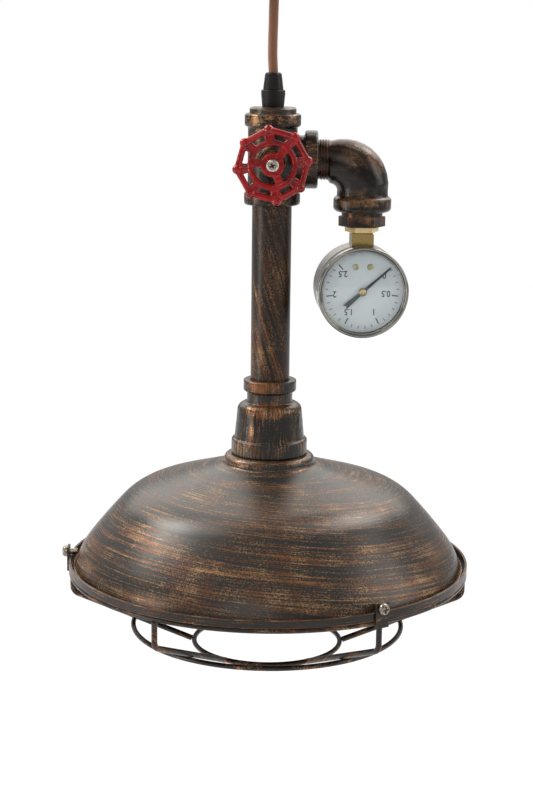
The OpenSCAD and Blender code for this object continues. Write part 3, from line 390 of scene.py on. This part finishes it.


# Brass fitting: turned flange above the split height, painted near-white as a highlight, and a duller stem
# below, partly its own tone and partly painted shade
FLANGE_BRASS_PAINTED_HIGHLIGHT = rgb(255, 230, 168)
STEM_BRASS_AND_SHADE = rgb(168, 144, 94)
WORN_BRASS = rgb(150, 120, 70)
FITTING_ROUGH = (0.16, 0.30)
FLANGE_METAL = 0.5
SPLIT_EDGE = 0.2 * MM


def fitting_brass(name, split):
    g = paint(name)
    where = g.place()
    height = g.split(where)[2]
    worn = g.noise(where, scale=500.0, rough=0.6)
    flange = g.ramp(height, split - SPLIT_EDGE, split + SPLIT_EDGE)
    # Painted highlight on the flange and, in part, painted shade on the stem
    tone = g.mix(flange, STEM_BRASS_AND_SHADE, FLANGE_BRASS_PAINTED_HIGHLIGHT)
    tone = g.mix(g.ramp(worn, low=0.40, high=0.75, out_high=0.4), tone, WORN_BRASS)
    metal = g.ramp(flange, 0.0, 1.0, 1.0, FLANGE_METAL)
    return g.finish(g.shader(Base_Color=tone, Metallic=metal, Roughness=g.wander(worn, *FITTING_ROUGH),
                             Normal=g.bump(worn, strength=0.15, distance=0.05 * MM)))


# Bright screw face with a cross recess painted dark as shade, turned by an angle about the middle of its
# node. The recess's arms fade out along their reach and across their half width
SCREW_BRIGHT = rgb(206, 200, 188)
SCREW_WORN = rgb(148, 138, 124)
SCREW_RECESS_SHADE = rgb(58, 52, 46)
CROSS_REACH = (1.7 * MM, 2.1 * MM)
CROSS_HALF = (0.35 * MM, 0.65 * MM)
SCREW_WEAR = 0.2


def cross_screw(name, middle, turn):
    g = paint(name)
    where = g.place()
    x, _, z = g.split(where)
    aside = g.minus(x, middle[0])
    above = g.minus(z, middle[2])
    arms = []
    for angle in (turn, turn + math.pi / 2):
        cosine = math.cos(angle)
        sine = math.sin(angle)
        along = g.math("ABSOLUTE", g.plus(g.times(aside, cosine), g.times(above, sine)))
        over = g.math("ABSOLUTE", g.minus(g.times(above, cosine), g.times(aside, sine)))
        arms.append(g.times(g.ramp(along, *CROSS_REACH, 1.0, 0.0), g.ramp(over, *CROSS_HALF, 1.0, 0.0)))
    recess = g.math("MAXIMUM", *arms)
    worn = g.noise(where, scale=900.0, rough=0.6)
    tone = g.mix(g.ramp(worn, low=0.35, high=0.7), SCREW_BRIGHT, SCREW_WORN)
    # Painted shade: the recess is darkened in the colour as well as sunk in the bump
    tone = g.mix(recess, tone, SCREW_RECESS_SHADE)
    height = g.minus(g.times(worn, SCREW_WEAR), recess)
    return g.finish(g.shader(Base_Color=tone, Metallic=1.0, Roughness=0.26,
                             Normal=g.bump(height, strength=0.6, distance=0.3 * MM)))


# Thick red enamel: deeper patches, small dark pits and a glossy coat over a lumpy face
RED_BRIGHT = rgb(180, 4, 12)
RED_DEEP = rgb(126, 2, 6)
RED_PIT = rgb(66, 6, 8)


def red_enamel():
    g = paint("red_enamel")
    where = g.place()
    lumps = g.noise(where, scale=420.0)
    whole = g.ramp(g.noise(where, scale=900.0, detail=2.0), low=0.28, high=0.42)
    tone = g.patches(where, RED_BRIGHT, RED_DEEP, scale=160.0, low=0.32, high=0.72)
    tone = g.mix(whole, RED_PIT, tone)
    return g.finish(g.shader(Base_Color=tone, Roughness=0.30, Specular_IOR_Level=0.0, Coat_Weight=0.8,
                             Coat_Roughness=0.02, Normal=g.bump(lumps, strength=0.22, distance=0.25 * MM)))


# Braided sleeve: two sets of helical threads round the cord, with a light fuzz. The valleys between the
# threads are painted darker as shade
WEAVE_VALLEY_SHADE = rgb(90, 54, 38)
WEAVE_CREST = rgb(156, 105, 76)
WEAVE_FUZZ = rgb(160, 122, 98)
WEAVE_RELIEF = 0.8
FUZZ_RELIEF = 0.4
CORD_STRANDS = 16.0
CORD_LAY = 14.0 * MM
WAVE_HALF = 0.5


def cord_fabric():
    g = paint("cord_fabric")
    where = g.place()
    x, y, z = g.split(where)
    angle = g.math("ARCTAN2", y, x)
    slope = TURN / CORD_LAY * CORD_STRANDS

    def helix(sign):
        phase = g.plus(g.times(angle, CORD_STRANDS), g.times(z, sign * slope))
        return g.plus(g.times(g.math("SINE", phase), WAVE_HALF), WAVE_HALF)

    weave = g.math("MAXIMUM", helix(1.0), helix(-1.0))
    fuzz = g.noise(where, scale=2600.0, rough=0.7)
    # Painted shade: the weave's valleys take the darker tone, the crests the thread's own
    tone = g.mix(g.ramp(weave, low=0.2, high=0.95), WEAVE_VALLEY_SHADE, WEAVE_CREST)
    tone = g.mix(g.ramp(fuzz, low=0.35, high=0.75, out_high=0.35), tone, WEAVE_FUZZ)
    height = g.plus(g.times(weave, WEAVE_RELIEF), g.times(fuzz, FUZZ_RELIEF))
    return g.finish(g.shader(Base_Color=tone, Roughness=0.72, Sheen_Weight=0.35, Sheen_Roughness=0.45,
                             Normal=g.bump(height, strength=0.5, distance=0.16 * MM)))


# Dial: white enamelled plate and its print
DIAL_WHITE = rgb(233, 240, 246)
DIAL_SHADE = rgb(225, 233, 240)
INK_DARK = rgb(24, 26, 30)
INK_GREY = rgb(40, 43, 48)


def dial_white():
    g = paint("dial_white")
    where = g.place()
    tone = g.patches(where, DIAL_WHITE, DIAL_SHADE, scale=90.0, low=0.3, high=0.7)
    grain = g.noise(where, scale=3000.0, detail=2.0)
    return g.finish(g.shader(Base_Color=tone, Roughness=0.42,
                             Normal=g.bump(grain, strength=0.1, distance=0.02 * MM)))


def dial_ink():
    g = paint("dial_ink")
    tone = g.patches(g.place(), INK_DARK, INK_GREY, scale=1800.0, low=0.35, high=0.75)
    return g.finish(g.shader(Base_Color=tone, Roughness=0.5))


# Clear lens that lets the lamps' light through to the dial
GLASS_TINT = (0.96, 0.985, 0.98, 1.0)
GLASS_SHADOW = (0.94, 0.97, 0.97, 1.0)
GLASS_IOR = 1.46
GLASS_SMEAR = 0.05


def lens_glass():
    g = paint("lens_glass")
    smear = g.ramp(g.noise(g.place(), scale=120.0), low=0.35, high=0.8, out_high=GLASS_SMEAR)
    glass = g.shader(Base_Color=GLASS_TINT, Roughness=smear, IOR=GLASS_IOR, Transmission_Weight=1.0)
    clear = g.add("BsdfTransparent", {"Color": GLASS_SHADOW}).outputs[0]
    path = g.add("LightPath").outputs["Is Shadow Ray"]
    return g.finish(g.blend(path, glass, clear))


# Bronze finishes, with the dabs and rings of copper seen on the lamp; some dabs and rings are painted
# highlight and painted shade, as marked below
SHADE_SPIRAL = 22.0 * MM
# Shade dabs: the first two carry the left highlight as painted highlight in copper, and the one at run 0.566
# darkens the lower left skirt as painted shade
SHADE_DABS_AND_PAINTED_LIGHT = [(-0.75, 0.45, 0.5255, 0.013, 0.20), (-0.50, 0.50, 0.540, 0.010, 0.20),
              (0.80, 0.60, 0.445, 0.030, -0.05), (-0.85, 0.50, 0.460, 0.022, 0.20),
              (-0.85, 0.40, 0.566, 0.018, -0.22), (0.0, 0.45, 0.439, 0.018, -0.12)]
# Shade rings: the dark ring just under the neck bead is a painted shadow line; the others are copper bands
SHADE_RINGS_AND_PAINTED_SHADE = [(0.389, 0.010, 0.06), (0.4035, 0.004, -0.5), (0.505, 0.030, -0.06), (0.560, 0.085, 0.10)]
TEE_DABS = [(-0.90, 0.55, -0.1215, 0.005, 0.32), (0.80, 0.55, -0.1215, 0.005, 0.32),
            (0.0, 0.5, -0.1215, 0.004, 0.2)]
BELL_DABS = [(-0.30, 0.85, -0.3035, 0.006, 0.42), (-0.15, 0.95, -0.3195, 0.006, 0.34),
             (-0.60, 0.55, -0.3465, 0.007, 0.18), (-0.55, 0.09, -0.3330, 0.012, 0.40),
             (0.75, 0.10, -0.3330, 0.012, 0.25)]
# Elbow rings: the brighter rings at the middle and the collar are painted light in copper, the darker one
# between them is painted shade on the elbow's lower face
ELBOW_RINGS_AND_PAINTED_LIGHT = [(-0.144, 0.012, 0.12), (-0.1645, 0.008, -0.30), (-0.1765, 0.004, 0.20)]
CAST = {"upright": True, "cover": 0.46, "patch": 60.0, "grain": 1300.0, "edge_wear": 0.8, "satin": 0.27,
        "strength": 0.8, "spread": 0.75, "gloss": 0.3}
BELL_CAST = {**CAST, "cover": 0.42, "spread": 0.55}
ELBOW_CAST = {**CAST, "satin": 0.22, "spread": 0.8}
GUARD = {"grain": 1100.0, "satin": 0.32}
SHADE_BRONZE = bronze("bronze_shade", around=1.0, across=420.0, cover=0.55, patch=12.0, grain=1000.0,
                      edge_wear=0.6, satin=0.27, strength=0.84, dark=DARK_SLATE, spiral=SHADE_SPIRAL,
                      dabs=SHADE_DABS_AND_PAINTED_LIGHT, rings=SHADE_RINGS_AND_PAINTED_SHADE, veil=0.8, stipple=0.55, spread=0.80, lines=1.9,
                      speck=1.7)
CAST_BRONZE = bronze("bronze_cast", around=14.0, across=75.0, **CAST)
TEE_BRONZE = bronze("bronze_tee", around=3.0, across=320.0, dabs=TEE_DABS, **CAST)
BELL_BRONZE = bronze("bronze_bell", around=16.0, across=40.0, dark=DARK_SLATE, dabs=BELL_DABS, **BELL_CAST)
ELBOW_BRONZE = bronze("bronze_elbow", around=14.0, across=75.0, stipple=0.5, broad=0.8, lines=1.0, speck=1.1,
                      rings=ELBOW_RINGS_AND_PAINTED_LIGHT, **ELBOW_CAST)
PIPE_BRONZE = bronze("bronze_pipe", around=4.5, across=7.0, upright=True, twist=24.0, cover=0.55, patch=30.0,
                     grain=1300.0, edge_wear=0.3, satin=0.34, strength=0.58, spread=0.6, lines=0.7, speck=1.7,
                     veil=0.6, dark=rgb(25, 18, 14), gloss=0.3)
WIRE_BRONZE = bronze("bronze_wire", around=6.0, across=200.0, cover=0.42, patch=40.0, edge_wear=0.7, **GUARD)
TAB_BRONZE = bronze("bronze_tab", around=6.0, across=200.0, cover=0.24, patch=40.0, edge_wear=0.25, **GUARD)
BAND_BRONZE = bronze("bronze_band", around=2.0, across=700.0, cover=0.30, patch=30.0, edge_wear=0.8, **GUARD)

# Bare metals and plastics
GRIP = {"colour": rgb(13, 12, 11), "roughness": 0.55, "scale": 1400.0, "gloss": 0.3}
FLANGE_H = 5.0 * MM
CROSS_TURN = 0.5
ZINC = plain_metal("zinc_steel", rgb(205, 203, 192), rgb(150, 146, 134), roughness=0.32)
AGED_STEEL = plain_metal("aged_steel", rgb(168, 158, 146), rgb(92, 84, 76), roughness=0.30, scale=900.0)
BRASS = plain_metal("brass", rgb(216, 190, 138), rgb(176, 150, 98), roughness=0.22)
PALE_BRASS = plain_metal("pale_brass", rgb(204, 192, 160), rgb(160, 142, 104), roughness=0.20)
CASE_STEEL = plain_metal("case_steel", rgb(138, 137, 133), rgb(122, 121, 117), roughness=0.34, scale=60.0)
GAUGE_STEEL = plain_metal("gauge_steel", rgb(146, 145, 140), rgb(128, 127, 123), roughness=0.12, scale=60.0)
CONNECTOR_BRASS = fitting_brass("connector_brass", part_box("reducing_bushing")[0][2] - FLANGE_H)
SCREW_MIDDLE = [(low + high) / 2 for low, high in zip(*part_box("wheel_screw"))]
CROSS_SCREW = cross_screw("cross_screw", SCREW_MIDDLE, CROSS_TURN)
RED = red_enamel()
BLACK_GRIP = plastic("black_plastic", **GRIP)
FLUTED_GRIP = plastic("fluted_plastic", flutes=18.0, **GRIP)
HOLDER_BLACK = plastic("holder_black", rgb(28, 27, 26), roughness=0.30, scale=700.0)
TERMINAL = plastic("terminal_plastic", rgb(226, 222, 212), roughness=0.45, scale=900.0)
POINTER_BLACK = plastic("pointer_black", rgb(24, 25, 27), roughness=0.42, scale=1600.0)
FABRIC = cord_fabric()
DIAL = dial_white()
INK = dial_ink()
GLASS = lens_glass()

# Each node takes its slot's material, unless it has one of its own
SLOT_MATERIALS = {"bronze_fitting": CAST_BRONZE, "bronze_shade": SHADE_BRONZE, "bronze_guard": WIRE_BRONZE,
                  "zinc_steel": ZINC, "cord_fabric": FABRIC, "black_plastic": BLACK_GRIP, "brass": BRASS,
                  "red_enamel": RED, "gauge_steel": GAUGE_STEEL, "lens_glass": GLASS, "dial_white": DIAL,
                  "pointer_black": POINTER_BLACK, "holder_black": HOLDER_BLACK, "terminal_plastic": TERMINAL}
NODE_MATERIALS = {"pipe": PIPE_BRONZE, "cord_grip_cap": FLUTED_GRIP, "gauge_connector": CONNECTOR_BRASS,
                  "gauge_case": CASE_STEEL, "dial_screw_left": PALE_BRASS, "dial_screw_right": PALE_BRASS,
                  "wheel_screw": CROSS_SCREW, "top_plug": SHADE_BRONZE, "guard_band": BAND_BRONZE}
for number in ("1", "2", "3"):
    NODE_MATERIALS["clamp_screw_" + number] = AGED_STEEL
    NODE_MATERIALS["guard_tab_" + number] = TAB_BRONZE


def dress(piece, material):
    piece.data.materials.clear()
    piece.data.materials.append(material)


for part in frame["record"]["subparts"]:
    slot_material = SLOT_MATERIALS[part["material_slot"]]
    dress(nodes[part["node"]], NODE_MATERIALS.get(part["node"], slot_material))
dress(cord, FABRIC)


# Dresses a new piece, fixes it to its body and hides the nodes that it replaces
def settle(piece, body, slot, material, *replaced):
    dress(piece, material)
    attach(piece, body)
    if replaced:
        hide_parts(*replaced)


# Places or normals of a mesh's points, one row each
def point_rows(mesh, kind):
    rows = np.empty(len(mesh.vertices) * 3)
    mesh.vertices.foreach_get(kind, rows)
    return rows.reshape(-1, 3)


# Joins tapered rods of (start, end, start radius, end radius) to a mesh
ROD_SIDES = 24


def add_rods(mesh, rods):
    form = bmesh.new()
    form.from_mesh(mesh)
    for start, end, near, far in rods:
        run = end - start
        place = Matrix.Translation((start + end) / 2) @ run.to_track_quat("Z", "Y").to_matrix().to_4x4()
        bmesh.ops.create_cone(form, cap_ends=True, segments=ROD_SIDES, radius1=near, radius2=far,
                              depth=run.length, matrix=place)
    form.to_mesh(mesh)
    form.free()


# Cast copy of a node: one skin with soft inner corners, rounded edges and a slightly uneven face. Rods are
# joined to it before the skin is made. A squeeze of (foot, share) presses what stands above the foot height
# down to that share
SMOOTH_SHARE = 0.5


def cast_copy(node, body, slot, material, voxel, softness, lump, lump_scale, squeeze=None, rods=()):
    name = node + "_cast"
    piece = add_object(name, nodes[node].data.copy())
    add_rods(piece.data, rods)
    remesh = piece.modifiers.new("skin", "REMESH")
    remesh.mode = "VOXEL"
    remesh.voxel_size = voxel
    soften = piece.modifiers.new("soften", "SMOOTH")
    soften.factor = SMOOTH_SHARE
    soften.iterations = softness
    mesh = baked(piece, name)
    piece.modifiers.clear()
    piece.data = mesh
    places = point_rows(mesh, "co")
    swell = np.array([noise.noise(Vector(place) * lump_scale) for place in places]) * lump
    places += point_rows(mesh, "normal") * swell[:, np.newaxis]
    if squeeze:
        foot, share = squeeze
        heights = places[:, 2]
        places[:, 2] = np.where(heights > foot, foot + (heights - foot) * share, heights)
    mesh.vertices.foreach_set("co", places.ravel())
    mesh.update()
    mesh.shade_smooth()
    settle(piece, body, slot, material, node)


# What the cast wheel has over its solid: a web between each spoke's two ridges
WHEEL_LOBES = 8
WHEEL_PHASE = math.radians(7.0)
WHEEL_R = 23.2 * MM
WHEEL_RING_R = 14.5 * MM
LOBE_R = 3.2 * MM
WEB_R = (1.1 * MM, 1.6 * MM)
WHEEL_LOW, WHEEL_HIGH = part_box("handwheel")
WHEEL_MIDDLE = Vector(((WHEEL_LOW[0] + WHEEL_HIGH[0]) / 2, WHEEL_LOW[1] + LOBE_R,
                       (WHEEL_LOW[2] + WHEEL_HIGH[2]) / 2))


def wheel_webs():
    rods = []
    for i in range(WHEEL_LOBES):
        angle = WHEEL_PHASE + TURN * i / WHEEL_LOBES
        run = Vector((math.cos(angle), 0, math.sin(angle)))
        rods.append((WHEEL_MIDDLE + run * WHEEL_RING_R, WHEEL_MIDDLE + run * WHEEL_R, *WEB_R))
    return rods


FITTING = {"voxel": 0.5 * MM, "lump": 0.10 * MM}
COLLAR_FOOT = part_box("bell_coupling")[1][2] - 9.4 * MM
COLLAR_SHARE = 0.82
cast_copy("tee", "lamp", "bronze_fitting", TEE_BRONZE, softness=12, lump_scale=260.0, **FITTING)
cast_copy("elbow", "lamp", "bronze_fitting", ELBOW_BRONZE, softness=16, lump_scale=240.0, **FITTING)
cast_copy("bell_coupling", "lamp", "bronze_fitting", BELL_BRONZE, softness=4, lump_scale=260.0,
          squeeze=(COLLAR_FOOT, COLLAR_SHARE), **FITTING)
cast_copy("handwheel", "wheel", "red_enamel", RED, softness=8, lump_scale=420.0, voxel=0.32 * MM,
          lump=0.12 * MM, rods=wheel_webs())


def mesh_piece(name, points, faces):
    mesh = bpy.data.meshes.new(name)
    mesh.from_pydata(points, [], faces)
    mesh.update()
    return add_object(name, mesh)


# Skin through rings of equal length, closed to a loop or with a face at each end
def skin(rings, closed):
    sides = len(rings[0])
    points = [p for ring in rings for p in ring]
    faces = []
    for i in range(len(rings) if closed else len(rings) - 1):
        k = (i + 1) % len(rings)
        for j in range(sides):
            n = (j + 1) % sides
            faces.append((i * sides + j, i * sides + n, k * sides + n, k * sides + j))
    if not closed:
        faces.append(tuple(reversed(range(sides))))
        faces.append(tuple(range((len(rings) - 1) * sides, len(rings) * sides)))
    return points, faces


# Smooth shading with sharp edges where faces turn by more than an angle in degrees
def shade(piece, sharp):
    piece.data.shade_smooth()
    piece.data.set_sharp_from_angle(angle=math.radians(sharp))


# Pipe thread that shows on the elbow's arm, as a helical ridge that fades at both ends. Its half width and
# flat crest are shares of the pitch and of that half
TEE_LOW, TEE_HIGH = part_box("tee")
ARM_Z = (TEE_LOW[2] + TEE_HIGH[2]) / 2
THREAD_PITCH = 1.814 * MM
THREAD_R = 13.2 * MM
THREAD_H = 0.55 * MM
THREAD_ROOT = THREAD_R - 0.2 * MM
THREAD_FROM = TEE_HIGH[0] + 0.4 * MM
THREAD_TURNS = 3.4
THREAD_STEPS = 72
THREAD_FADE = 0.3
THREAD_LEAST = 0.02
THREAD_HALF = 0.46
THREAD_CREST = 0.25
THREAD_SHARP = 40.0


def thread_section(turn):
    angle = turn * TURN
    fade = min(1.0, turn / THREAD_FADE, (THREAD_TURNS - turn) / THREAD_FADE)
    crest = THREAD_R + THREAD_H * max(fade, THREAD_LEAST)
    middle = THREAD_FROM + THREAD_PITCH * (turn + 1 / 2)
    half = THREAD_PITCH * THREAD_HALF
    flat = half * THREAD_CREST
    section = [(-half, THREAD_ROOT), (-flat, crest), (flat, crest), (half, THREAD_ROOT)]
    return [(middle + dx, r * math.cos(angle), ARM_Z + r * math.sin(angle)) for dx, r in section]


thread_rings = [thread_section(i / THREAD_STEPS) for i in range(int(THREAD_TURNS * THREAD_STEPS) + 1)]
thread = mesh_piece("elbow_thread", *skin(thread_rings, False))
shade(thread, THREAD_SHARP)
settle(thread, "lamp", "bronze_fitting", CAST_BRONZE)

# The gauge's own frame from its pointer's hinge: x across the dial, -y to the front, z up
pointer_hinge = next(j for j in frame["record"]["behaviour"]["joints"] if j["name"] == "pointer_turn")
GAUGE_TURN = math.atan2(-pointer_hinge["axis"][0], pointer_hinge["axis"][1])
GAUGE = Matrix.Translation(pointer_hinge["pos_m"]) @ Matrix.Rotation(GAUGE_TURN, 4, "Z")
TURNED_SEGMENTS = 128
TURNED_SHARP = 38.0


# Front, back and radius of a gauge node in the gauge's frame
def gauge_extent(node):
    places = point_rows(nodes[node].data, "co")
    turned = np.array(GAUGE.inverted()) @ np.vstack([places.T, np.ones(len(places))])
    return -turned[1].min(), -turned[1].max(), turned[0].max()


# Points of an arc in a section: centre, radius and two angles in degrees
def arc(centre, radius, start, end, steps):
    turn = [math.radians(start + (end - start) * i / steps) for i in range(steps + 1)]
    return [(centre[0] + radius * math.cos(a), centre[1] + radius * math.sin(a)) for a in turn]


# Turned piece about the gauge's axis from a closed section of (radius, depth to the front)
def turned_on_gauge(name, section, segments=TURNED_SEGMENTS):
    rings = []
    for i in range(segments):
        a = TURN * i / segments
        rings.append([(r * math.cos(a), -d, r * math.sin(a)) for r, d in section])
    piece = mesh_piece(name, *skin(rings, True))
    piece.data.transform(GAUGE)
    shade(piece, TURNED_SHARP)
    return piece


# Gauge front: a bezel with a grooved skirt, a rolled outer ring and an inner lip. The arcs are (start and end
# in degrees, steps)
BEZEL_FRONT, BEZEL_BACK, BEZEL_R = gauge_extent("gauge_bezel")
LENS_FRONT = gauge_extent("gauge_lens")[0]
DIAL_FACE = gauge_extent("gauge_dial")[0]
HUB_FRONT = gauge_extent("gauge_pointer")[0]
SKIRT_T = 0.6 * MM
SKIRT_BREAK_IN = 0.1 * MM
SKIRT_BREAK_UP = 0.2 * MM
GROOVE_DEPTH = 0.25 * MM
GROOVE_FROM = BEZEL_BACK + 2.4 * MM
GROOVE_FLOOR = (BEZEL_BACK + 2.7 * MM, BEZEL_BACK + 3.3 * MM)
GROOVE_TO = BEZEL_BACK + 3.6 * MM
ROLL_R = 1.15 * MM
ROLL_ARC = (0, 165, 14)
LIP_R = 0.75 * MM
LIP_ARC = (20, 180, 10)
LIP_OVERLAP = 0.25 * MM
LIP_SINK = 1.15
LENS_SEAT = LENS_FRONT + 0.1 * MM
LENS_POCKET_R = BEZEL_R - 1.1 * MM
LENS_POCKET_END = LENS_FRONT - 0.5 * MM


def bezel_section():
    inside = BEZEL_R - SKIRT_T
    groove_r = BEZEL_R - GROOVE_DEPTH
    roll = (BEZEL_R - ROLL_R, BEZEL_FRONT - ROLL_R)
    lip = (BEZEL_R - 2 * ROLL_R - LIP_R + LIP_OVERLAP, BEZEL_FRONT - ROLL_R * LIP_SINK)
    skirt = [(inside, BEZEL_BACK), (BEZEL_R - SKIRT_BREAK_IN, BEZEL_BACK),
             (BEZEL_R, BEZEL_BACK + SKIRT_BREAK_UP), (BEZEL_R, GROOVE_FROM), (groove_r, GROOVE_FLOOR[0]),
             (groove_r, GROOVE_FLOOR[1]), (BEZEL_R, GROOVE_TO)]
    pocket = [(lip[0] - LIP_R, LENS_SEAT), (LENS_POCKET_R, LENS_SEAT), (inside, LENS_POCKET_END)]
    return skirt + arc(roll, ROLL_R, *ROLL_ARC) + arc(lip, LIP_R, *LIP_ARC) + pocket


bezel = turned_on_gauge("gauge_bezel_turned", bezel_section())
settle(bezel, "lamp", "gauge_steel", GAUGE_STEEL, "gauge_bezel")

# Dial print: a scale of ticks and plain numbers, upside down because the gauge hangs from its stem. Angles
# are in degrees from the gauge's right, a tick is (inner radius, outer radius, width), and the places of the
# numbers are across and up from the dial's middle in millimetres
SCALE_START = 48.5
SCALE_STEP = 55.4
ZERO_MARK = 41.0
SCALE_NUMBERS = ["0", "0.5", "1", "1.5", "2", "2.5"]
SCALE_PARTS = 5
TICK_T = 0.06 * MM
TICK_FOOT = 0.2
MAJOR = (20.4 * MM, 24.8 * MM, 0.80 * MM)
MINOR = (23.4 * MM, 25.4 * MM, 0.42 * MM)
BLOCK_FACES = [(3, 2, 1, 0), (4, 5, 6, 7), (0, 1, 5, 4), (1, 2, 6, 5), (2, 3, 7, 6), (3, 0, 4, 7)]
NUMBER_SIZE = 6.0 * MM
NUMBER_NARROW = 0.86
NUMBER_BOLD = 0.10 * MM
NUMBER_LIFT = 0.6
NUMBER_PLACES = [(14.8, 11.4), (16.1, -1.2), (8.1, -13.7), (-9.1, -13.7), (-19.0, -1.5), (-13.5, 12.4)]


def tick_block(angle, span):
    inner, outer, width = span
    a = math.radians(angle)
    run = Vector((math.cos(a), 0, math.sin(a)))
    side = Vector((-math.sin(a), 0, math.cos(a))) * (width / 2)
    centre = Vector((0, -DIAL_FACE, 0))
    flat = [centre + run * inner - side, centre + run * outer - side, centre + run * outer + side,
            centre + run * inner + side]
    lift = Vector((0, -TICK_T, 0))
    return [tuple(p + lift * TICK_FOOT) for p in flat] + [tuple(p + lift) for p in flat]


def make_ticks():
    points = []
    faces = []
    count = (len(SCALE_NUMBERS) - 1) * SCALE_PARTS
    for i in range(count + 1):
        span = MINOR if i % SCALE_PARTS else MAJOR
        base = len(points)
        points += tick_block(SCALE_START - SCALE_STEP / SCALE_PARTS * i if i else ZERO_MARK, span)
        faces += [tuple(base + k for k in face) for face in BLOCK_FACES]
    ticks = mesh_piece("dial_ticks", points, faces)
    ticks.data.transform(GAUGE)
    return ticks


def make_number(index, text):
    name = "dial_number_%d" % index
    font = bpy.data.curves.new(name, "FONT")
    font.body = text
    font.size = NUMBER_SIZE
    font.align_x = "CENTER"
    font.align_y = "CENTER"
    font.extrude = TICK_T / 2
    font.offset = NUMBER_BOLD
    holder = add_object(name, font)
    across, up = NUMBER_PLACES[index]
    place = (across * MM, -DIAL_FACE - TICK_T * NUMBER_LIFT, up * MM)
    narrow = Matrix.Diagonal((NUMBER_NARROW, 1.0, 1.0, 1.0))
    turn = rotation(RIGHT_ANGLE, "X") @ rotation(HALF_TURN, "Z") @ narrow
    mesh = baked(holder, name)
    mesh.transform(GAUGE @ Matrix.Translation(place) @ turn)
    bpy.data.objects.remove(holder)
    return add_object(name, mesh)


settle(make_ticks(), "lamp", "pointer_black", INK)
for index, text in enumerate(SCALE_NUMBERS):
    settle(make_number(index, text), "lamp", "pointer_black", INK)

# Turned cap on the pointer's hub: its heights are shares of the cap's own
CAP_R = 2.35 * MM
CAP_H = 0.55 * MM
CAP_BORE_R = 0.02 * MM
CAP_FOOT = HUB_FRONT - 0.2 * MM
CAP_BREAK = 0.35 * MM
CAP_SIDE = 0.5
CAP_DISH_R = CAP_R * 0.5
CAP_DISH = (0.9, 0.85)
CAP_SEGMENTS = 48
cap_section = [(CAP_BORE_R, CAP_FOOT), (CAP_R, CAP_FOOT), (CAP_R, HUB_FRONT + CAP_H * CAP_SIDE),
               (CAP_R - CAP_BREAK, HUB_FRONT + CAP_H), (CAP_DISH_R, HUB_FRONT + CAP_H * CAP_DISH[0]),
               (CAP_BORE_R, HUB_FRONT + CAP_H * CAP_DISH[1])]
settle(turned_on_gauge("pointer_cap", cap_section, CAP_SEGMENTS), "pointer", "pointer_black", BRASS)

# Plain studio: pale floor, white surround and soft lamps. A lamp is (name, place, target, width, height,
# watts)
FLOOR_Z = -1.15
FLOOR_HALF = 6.0
FLOOR_PAPER = (0.86, 0.86, 0.86, 1.0)
FLOOR_GLOW = 1.14
FLOOR_SEEN = 0.88
WHITE = (1.0, 1.0, 1.0, 1.0)
WORLD_LEVEL = 0.27
MIRRORED_SHARE = 0.2
LAMP_TINT = (1.0, 0.95, 0.88)
LAMPS = [("overhead", (-0.27, 0.96, 0.78), (-0.45, 0, -0.38), 2.80, 1.85, 30.5),
         ("right_high", (0.70, 0.50, 0.72), (0.06, -0.07, -0.40), 0.55, 0.60, 6.0),
         ("left_high", (-0.98, 0.24, 0.61), (-0.10, -0.06, -0.40), 0.50, 0.50, 9.5),
         ("left_top", (-0.70, 0.04, 0.84), (-0.07, -0.07, -0.39), 0.60, 0.60, 4.0),
         ("left_low", (-1.30, -0.45, -0.30), (0, 0, -0.22), 0.35, 0.80, 5.0),
         ("right_soft", (1.50, -0.20, 0.35), (0, 0, -0.35), 0.90, 1.10, 9.0),
         ("front_fill", (-0.50, -2.20, 0.90), (0, 0, -0.25), 1.20, 1.20, 6.0)]


# Pale paper under the lamp, mostly white to the camera, in mirrors and through glass, and clear from below
def make_floor():
    corners = [(-FLOOR_HALF, -FLOOR_HALF, FLOOR_Z), (FLOOR_HALF, -FLOOR_HALF, FLOOR_Z),
               (FLOOR_HALF, FLOOR_HALF, FLOOR_Z), (-FLOOR_HALF, FLOOR_HALF, FLOOR_Z)]
    floor = mesh_piece("floor", corners, [(0, 1, 2, 3)])
    g = paint("floor_white")
    path = g.add("LightPath").outputs
    mirrored = g.math("MAXIMUM", path["Is Glossy Ray"], path["Is Transmission Ray"])
    seen = g.math("MAXIMUM", path["Is Camera Ray"], mirrored)
    paper = g.add("BsdfDiffuse", {"Color": FLOOR_PAPER}).outputs[0]
    white = g.add("Emission", {"Color": WHITE, "Strength": FLOOR_GLOW}).outputs[0]
    top = g.blend(g.times(seen, FLOOR_SEEN), paper, white)
    clear = g.add("BsdfTransparent").outputs[0]
    under = g.add("NewGeometry").outputs["Backfacing"]
    dress(floor, g.finish(g.blend(under, top, clear)))


# White to the camera, a share of that in mirrors and glass, and a dim light on the object
def make_world():
    scene.world = bpy.data.worlds.new("surround")
    g = Graph(scene.world)
    path = g.add("LightPath").outputs
    plain = g.add("Background", {"Color": WHITE, "Strength": WORLD_LEVEL}).outputs[0]
    white = g.add("Background", {"Color": WHITE, "Strength": 1.0}).outputs[0]
    mirrored = g.math("MAXIMUM", path["Is Glossy Ray"], path["Is Transmission Ray"])
    seen = g.add("Math", {0: mirrored, 1: MIRRORED_SHARE, 2: path["Is Camera Ray"]}, operation="MULTIPLY_ADD",
                 use_clamp=True).outputs[0]
    g.finish(g.blend(seen, plain, white), "OutputWorld")


def make_lamp(name, place, target, width, height, power):
    lamp = bpy.data.lights.new(name, "AREA")
    lamp.shape = "RECTANGLE"
    lamp.size = width
    lamp.size_y = height
    lamp.energy = power
    lamp.color = LAMP_TINT
    aim = Vector(target) - Vector(place)
    holder = add_object(name, lamp)
    holder.matrix_world = Matrix.Translation(place) @ aim.to_track_quat("-Z", "Y").to_matrix().to_4x4()


make_floor()
make_world()
for lamp_row in LAMPS:
    make_lamp(*lamp_row)
